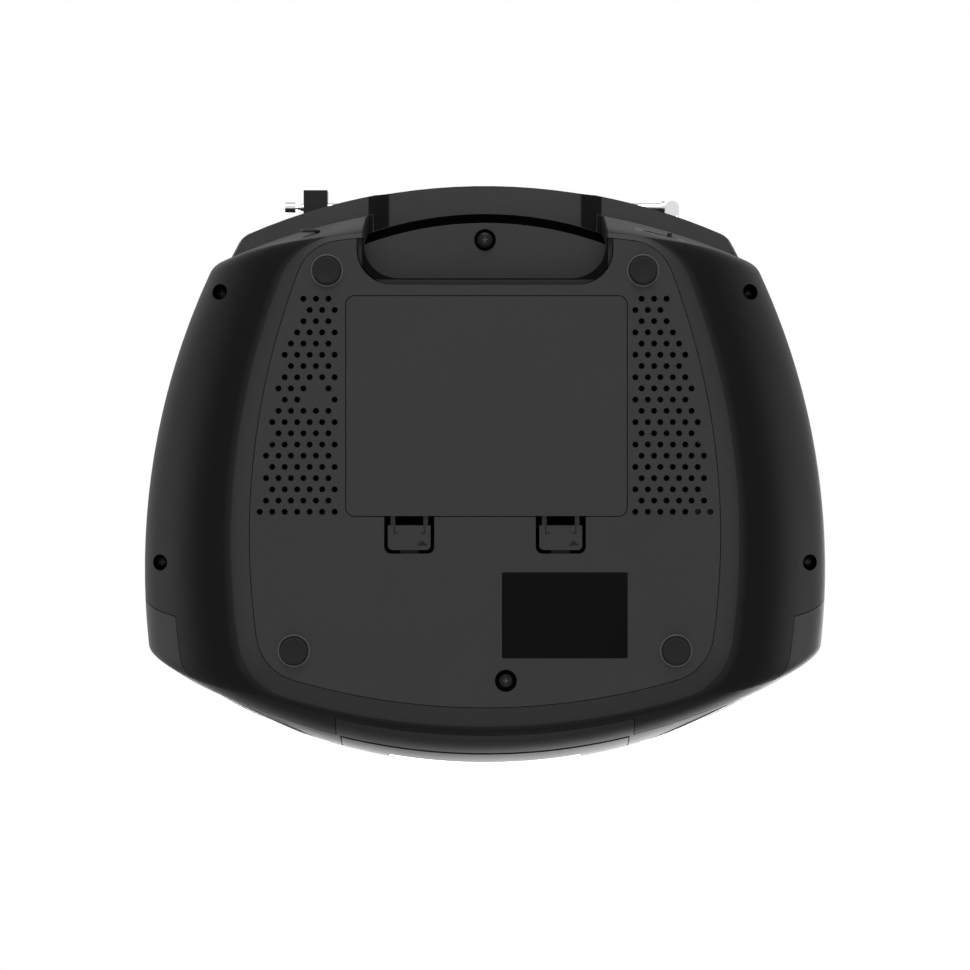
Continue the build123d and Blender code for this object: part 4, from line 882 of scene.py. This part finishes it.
class STEREO_OT_loudspeakers(bpy.types.Operator):
    """Glossy rings, perforated grilles and the cones behind them"""
    bl_idname = "stereo.loudspeakers"
    bl_label = "Loudspeakers"

    def execute(self, context):
        paint = palette(context)
        sizes = settings(context, "grille")
        for side, way in (("left", -1), ("right", 1)):
            cover(paint["trim"], f"speaker_ring_{side}")
            cover(paint["cone"], f"speaker_driver_{side}")
            self.grille(side, way, sizes, paint)
        return {"FINISHED"}

    def cells(self, radius, sizes):
        """A flat round sheet of hexagonal cells."""
        clear()
        bpy.ops.mesh.primitive_circle_add(vertices=6, radius=sizes.pitch / sqrt(3), fill_type="NGON")
        sheet = bpy.context.object
        edit_all(sheet)
        bpy.ops.mesh.inset(thickness=sizes.bar / 2)
        bpy.ops.mesh.delete(type="FACE")
        mode("OBJECT")
        corners = sheet.data.vertices
        step = (corners[0].co + corners[1].co).normalized() * sizes.pitch
        second = Matrix.Rotation(radians(60), 3, "Z") @ step
        count = int(radius / sizes.pitch) * 2 + 3
        for offset in (step, second):
            modified(sheet, "ARRAY", count=count, use_relative_offset=False, use_constant_offset=True,
                     constant_offset_displace=offset)
        move(sheet, *(-(step + second) * ((count - 1) / 2)))
        inner = radius - sizes.rim * 0.6
        keep_faces(sheet, lambda face: hypot(face.center.x, face.center.y) <= inner, 0.01 * MM)
        edit_all(sheet)
        bpy.ops.mesh.normals_make_consistent()
        mode("OBJECT")
        return sheet

    def grille(self, side, way, sizes, paint):
        """A domed sheet of cells in a plain rim, drawn with Z pointing out of its baffle."""
        low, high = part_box(f"speaker_grille_{side}")
        middle, radius = (low + high) / 2, (high.z - low.z) / 2
        turn = way * sizes.turn
        out = Vector((sin(turn), -cos(turn), 0))
        across = Vector((cos(turn), sin(turn), 0))
        node = f"speaker_grille_{side}"
        reaches = [(vertex.co - middle).dot(out) for vertex in frame["nodes"][node].data.vertices]
        back, tip = min(reaches), max(reaches)
        sheet = self.cells(radius, sizes)
        bow = (radius ** 2 + sizes.dome ** 2) / (2 * sizes.dome)
        for vertex in sheet.data.vertices:
            far = min(hypot(vertex.co.x, vertex.co.y), radius)
            vertex.co.z = sqrt(bow ** 2 - far ** 2) - bow + tip - 0.1 * MM
        modified(sheet, "SOLIDIFY", thickness=sizes.sheet, offset=-1)
        edge = tip - sizes.dome
        lip, skirt = radius - sizes.rim, radius - 1 * MM
        rim = turned("rim", [(lip, edge - 0.4 * MM), (lip, edge + 0.55 * MM),
                             (radius - sizes.rim * 0.5, edge + 0.5 * MM), (radius, edge), (radius, back),
                             (skirt, back), (skirt, edge - 0.6 * MM)], 72, True)
        grille = joined([sheet, rim], f"perforated_grille_{side}")
        baffle = Matrix((across, (0, 0, 1), out)).transposed().to_4x4()
        grille.data.transform(Matrix.Translation(middle) @ baffle)
        only(grille)
        bpy.ops.object.shade_smooth_by_angle(angle=radians(30))
        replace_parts(dress(grille, paint["grille"], node), node)


class STEREO_OT_aerial(bpy.types.Operator):
    """Bright plated aerial tubes, their swivel and tip"""
    bl_idname = "stereo.aerial"
    bl_label = "Aerial"

    def execute(self, context):
        paint = palette(context)
        cover(paint["chrome"], "aerial_swivel", *[f"aerial_section_{number}" for number in range(1, 5)])
        return {"FINISHED"}


class STEREO_OT_mechanism(bpy.types.Operator):
    """Disc deck, cassette deck, battery case and everything else inside"""
    bl_idname = "stereo.mechanism"
    bl_label = "Mechanism"

    finishes = {
        "acetal": ("cd_well", "cd_chassis", "turntable", "optical_pickup", "supply_reel", "takeup_reel",
                   "ac_inlet", "headphone_socket"),
        "white_acetal": ("sled_gear",),
        "zinc": ("cassette_chassis", "cassette_motor", "capstan", "head_carriage", "battery_contacts"),
        "steel": ("spindle_motor", "sled_motor"),
        "copper": ("transformer",),
        "belt": ("drive_belt", "pinch_roller"),
        "board": ("main_board", "display_module"),
        "aluminium": ("heat_sink",),
        "base": ("battery_case",),
        "smoked": ("cassette_window", "lid_window", "display_window"),
    }

    def execute(self, context):
        paint = palette(context)
        for key, nodes in self.finishes.items():
            cover(paint[key], *nodes)
        self.pickup_lens(paint)
        self.sockets(paint)
        self.display(paint)
        return {"FINISHED"}

    def pickup_lens(self, paint):
        """A small domed lens where the pickup stands highest."""
        node = frame["nodes"]["optical_pickup"]
        top = max(vertex.co.z for vertex in node.data.vertices)
        crown = [vertex.co for vertex in node.data.vertices if vertex.co.z > top - 0.05 * MM]
        middle = sum(crown, Vector()) / len(crown)
        dome = profile(MM, (2.3, -0.5), (2.3, 0.1), (1.9, 0.1), (1.8, 0.0), (1.2, 0.3), (0.5, 0.42))
        lens = move(turned("pickup_lens", dome, 32), middle.x, middle.y, top)
        dress(lens, paint["lens"], "optical_pickup")

    def sockets(self, paint):
        """Metal sleeves on the mains inlet's two pins and a nut on the headphone socket."""
        low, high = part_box("ac_inlet")
        backwards = Matrix.Rotation(radians(-90), 4, "X")
        sleeve = turned("pin", profile(MM, (1.25, 0), (1.25, 3.6), (0.9, 4.0), (0.3, 4.1)), 24)
        sleeve.data.transform(backwards)
        middle = (low + high) / 2
        apart, depth = 4.3 * MM, 9.2 * MM
        places = [(middle.x + way * apart, high.y - depth, middle.z) for way in (-1, 1)]
        dress(copies(sleeve, "inlet_pins", places), paint["zinc"], "ac_inlet")
        low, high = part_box("headphone_socket")
        middle = (low + high) / 2
        outer, bore = (high.x - low.x) / 2, 2.1 * MM
        root, crown, crest = -0.3 * MM, 0.5 * MM, 0.7 * MM
        nut = turned("socket_nut", [(bore, root), (bore, crown), (outer - 1.2 * MM, crest),
                                    (outer - 0.6 * MM, crown), (outer - 0.5 * MM, root)], 36, True)
        nut.data.transform(Matrix.Translation((middle.x, high.y, middle.z)) @ backwards)
        dress(nut, paint["acetal"], "headphone_socket")

    def display(self, paint):
        """The pale display glass with two dark seven-segment digits, facing forward."""
        low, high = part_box("display_module")
        middle = (low + high) / 2
        upright = Matrix.Translation((middle.x, low.y, middle.z)) @ Matrix.Rotation(radians(90), 4, "X")
        width, height, thick = 56 * MM, 13 * MM, 0.3 * MM
        glass = slab("display_glass", oblong(0, 0, width, height), 0, thick, 0.05 * MM)
        glass.data.transform(upright)
        dress(glass, paint["display"], "display_module")
        bars = {"a": (0, 1, 1), "d": (0, -1, 1), "g": (0, 0, 1), "b": (1, 0.5, 0), "c": (1, -0.5, 0),
                "e": (-1, -0.5, 0), "f": (-1, 0.5, 0)}
        apart, digit_half, digit_high, stroke = 4 * MM, 2.1 * MM, 4.2 * MM, 0.7 * MM
        outlines = []
        for shift, lit in ((-apart, "abcdef"), (apart, "bc")):
            for across, up, flat in (bars[bar] for bar in lit):
                size = (2 * digit_half - stroke, stroke) if flat else (stroke, digit_high - stroke)
                outlines.append(oblong(shift + across * digit_half, up * digit_high, *size))
        digits = printed("display_digits", outlines, 0.1 * MM)
        digits.data.transform(upright @ Matrix.Translation((0, 0, thick)))
        dress(digits, paint["dark_print"], "display_module")


class STEREO_OT_controls(bpy.types.Operator):
    """Knobs with their dials, keys and buttons with their symbols, and the function switch"""
    bl_idname = "stereo.controls"
    bl_label = "Controls"

    def execute(self, context):
        paint = palette(context)
        sizes = settings(context, "dial")
        self.dial("volume_knob", [str(number) for number in range(0, 11, 2)], paint, sizes)
        self.dial("tuning_knob", [str(number) for number in range(88, 109, 4)], paint, sizes)
        self.symbols(paint, sizes)
        self.switch_marks(paint, sizes)
        return {"FINISHED"}

    def dial(self, knob, numbers, paint, sizes):
        """A turned metal cap with a pointer on the knob, and the numbers round it."""
        cover(paint["silver"], knob)
        low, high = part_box(knob)
        middle = (low + high) / 2
        radius, top = (high.x - low.x) / 2, high.z
        rim = radius - 2.2 * MM
        cap = turned(f"{knob}_cap", [(rim, -0.2 * MM), (rim, 0.12 * MM), (radius - 2.7 * MM, 0.3 * MM),
                                     (radius - 3.6 * MM, 0.22 * MM), (radius * 0.3, 0.16 * MM)], 72)
        dress(move(cap, middle.x, middle.y, top), paint["aluminium"], knob)
        line = oblong(0, radius * 0.62, 1.1 * MM, radius * 0.3)
        pointer = printed(f"{knob}_pointer", [line], 0.4 * MM)
        dress(move(pointer, middle.x, middle.y, top), paint["dark_print"], knob)
        marks = []
        for step, label in enumerate(numbers):
            turn = (2 * step / (len(numbers) - 1) - 1) * sizes.sweep
            way = Vector((sin(turn), cos(turn)))
            place = middle.xy + (radius + sizes.gap) * way
            mark = numeral("number", label, sizes.numeral, 2 * sizes.ink)
            marks.append(lay_on(mark, "upper_cabinet", *place))
            place = middle.xy + (radius + 0.4 * sizes.gap) * way
            mark = printed("tick", [oblong(0, 0, 0.4 * MM, 1.5 * MM)], sizes.ink)
            marks.append(lay_on(mark, "upper_cabinet", *place, turn=-turn))
        dress(joined(marks, f"{knob}_dial"), paint["print"], "upper_cabinet")

    def symbols(self, paint, sizes):
        """Transport symbols on the six keys and the three deck buttons."""
        size = sizes.symbol
        bars = [oblong(way * size * 0.28, 0, size * 0.28, size) for way in (-1, 1)]
        square = [oblong(0, 0, size * 0.9, size * 0.9)]
        drawn = {
            "pause_key": bars,
            "stop_key": square,
            "fast_forward_key": [arrow(-size * 0.45, size), arrow(size * 0.45, size)],
            "rewind_key": [arrow(-size * 0.45, size, -1), arrow(size * 0.45, size, -1)],
            "play_key": [arrow(0, size)],
            "record_key": [disc(size * 0.5)],
            "disc_play_button": [arrow(0, size)],
            "disc_stop_button": square,
            "lid_open_button": [[(-size * 0.5, -size * 0.05), (size * 0.5, -size * 0.05), (0, size * 0.5)],
                                oblong(0, -size * 0.35, size, size * 0.22)],
        }
        for node, outlines in drawn.items():
            cover(paint["silver"], node)
            low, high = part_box(node)
            forward = 0.32 if node.endswith("key") else 0.5
            mark = printed(f"{node}_symbol", outlines, sizes.ink)
            lay_on(mark, node, (low.x + high.x) / 2, low.y + forward * (high.y - low.y))
            dress(mark, paint["record" if node == "record_key" else "dark_print"], node)

    def switch_marks(self, paint, sizes):
        """Three ticks beside the sliding switch, one for each of its positions."""
        node = "function_switch"
        cover(paint["silver"], node)
        low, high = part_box(node)
        middle_y, travel = (low.y + high.y) / 2, 4 * MM
        marks = []
        for step in (-1, 0, 1):
            mark = printed("tick", [oblong(0, 0, 2.4 * MM, 0.5 * MM)], sizes.ink)
            marks.append(lay_on(mark, "upper_cabinet", high.x + 0.5 * MM, middle_y + step * travel))
        dress(joined(marks, "switch_ticks"), paint["print"], "upper_cabinet")


GROUPS = {"stage": StageSettings, "finish": FinishColours, "cabinet": CabinetSizes,
          "underside": UndersideSizes, "grille": GrilleSizes, "dial": DialSizes}
OPERATORS = (STEREO_OT_stage, STEREO_OT_cabinet, STEREO_OT_underside, STEREO_OT_fixings,
             STEREO_OT_loudspeakers, STEREO_OT_aerial, STEREO_OT_mechanism, STEREO_OT_controls)


class STEREO_PT_sidebar(bpy.types.Panel):
    """Lists the steps that finish the stereo"""
    bl_idname = "STEREO_PT_sidebar"
    bl_label = "Portable Stereo"
    bl_space_type = "VIEW_3D"
    bl_region_type = "UI"
    bl_category = "Stereo"

    def draw(self, context):
        for operator in OPERATORS:
            self.layout.operator(operator.bl_idname)


def register():
    for name, group in GROUPS.items():
        bpy.utils.register_class(group)
        setattr(bpy.types.Scene, f"stereo_{name}", bpy.props.PointerProperty(type=group))
    for kind in (*OPERATORS, STEREO_PT_sidebar):
        bpy.utils.register_class(kind)


def unregister():
    for kind in (STEREO_PT_sidebar, *reversed(OPERATORS)):
        bpy.utils.unregister_class(kind)
    for name, group in GROUPS.items():
        delattr(bpy.types.Scene, f"stereo_{name}")
        bpy.utils.unregister_class(group)


def main():
    register()
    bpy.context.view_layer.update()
    for operator in OPERATORS:
        getattr(bpy.ops.stereo, operator.bl_idname.split(".")[1])()


if __name__ == "__main__":
    main()
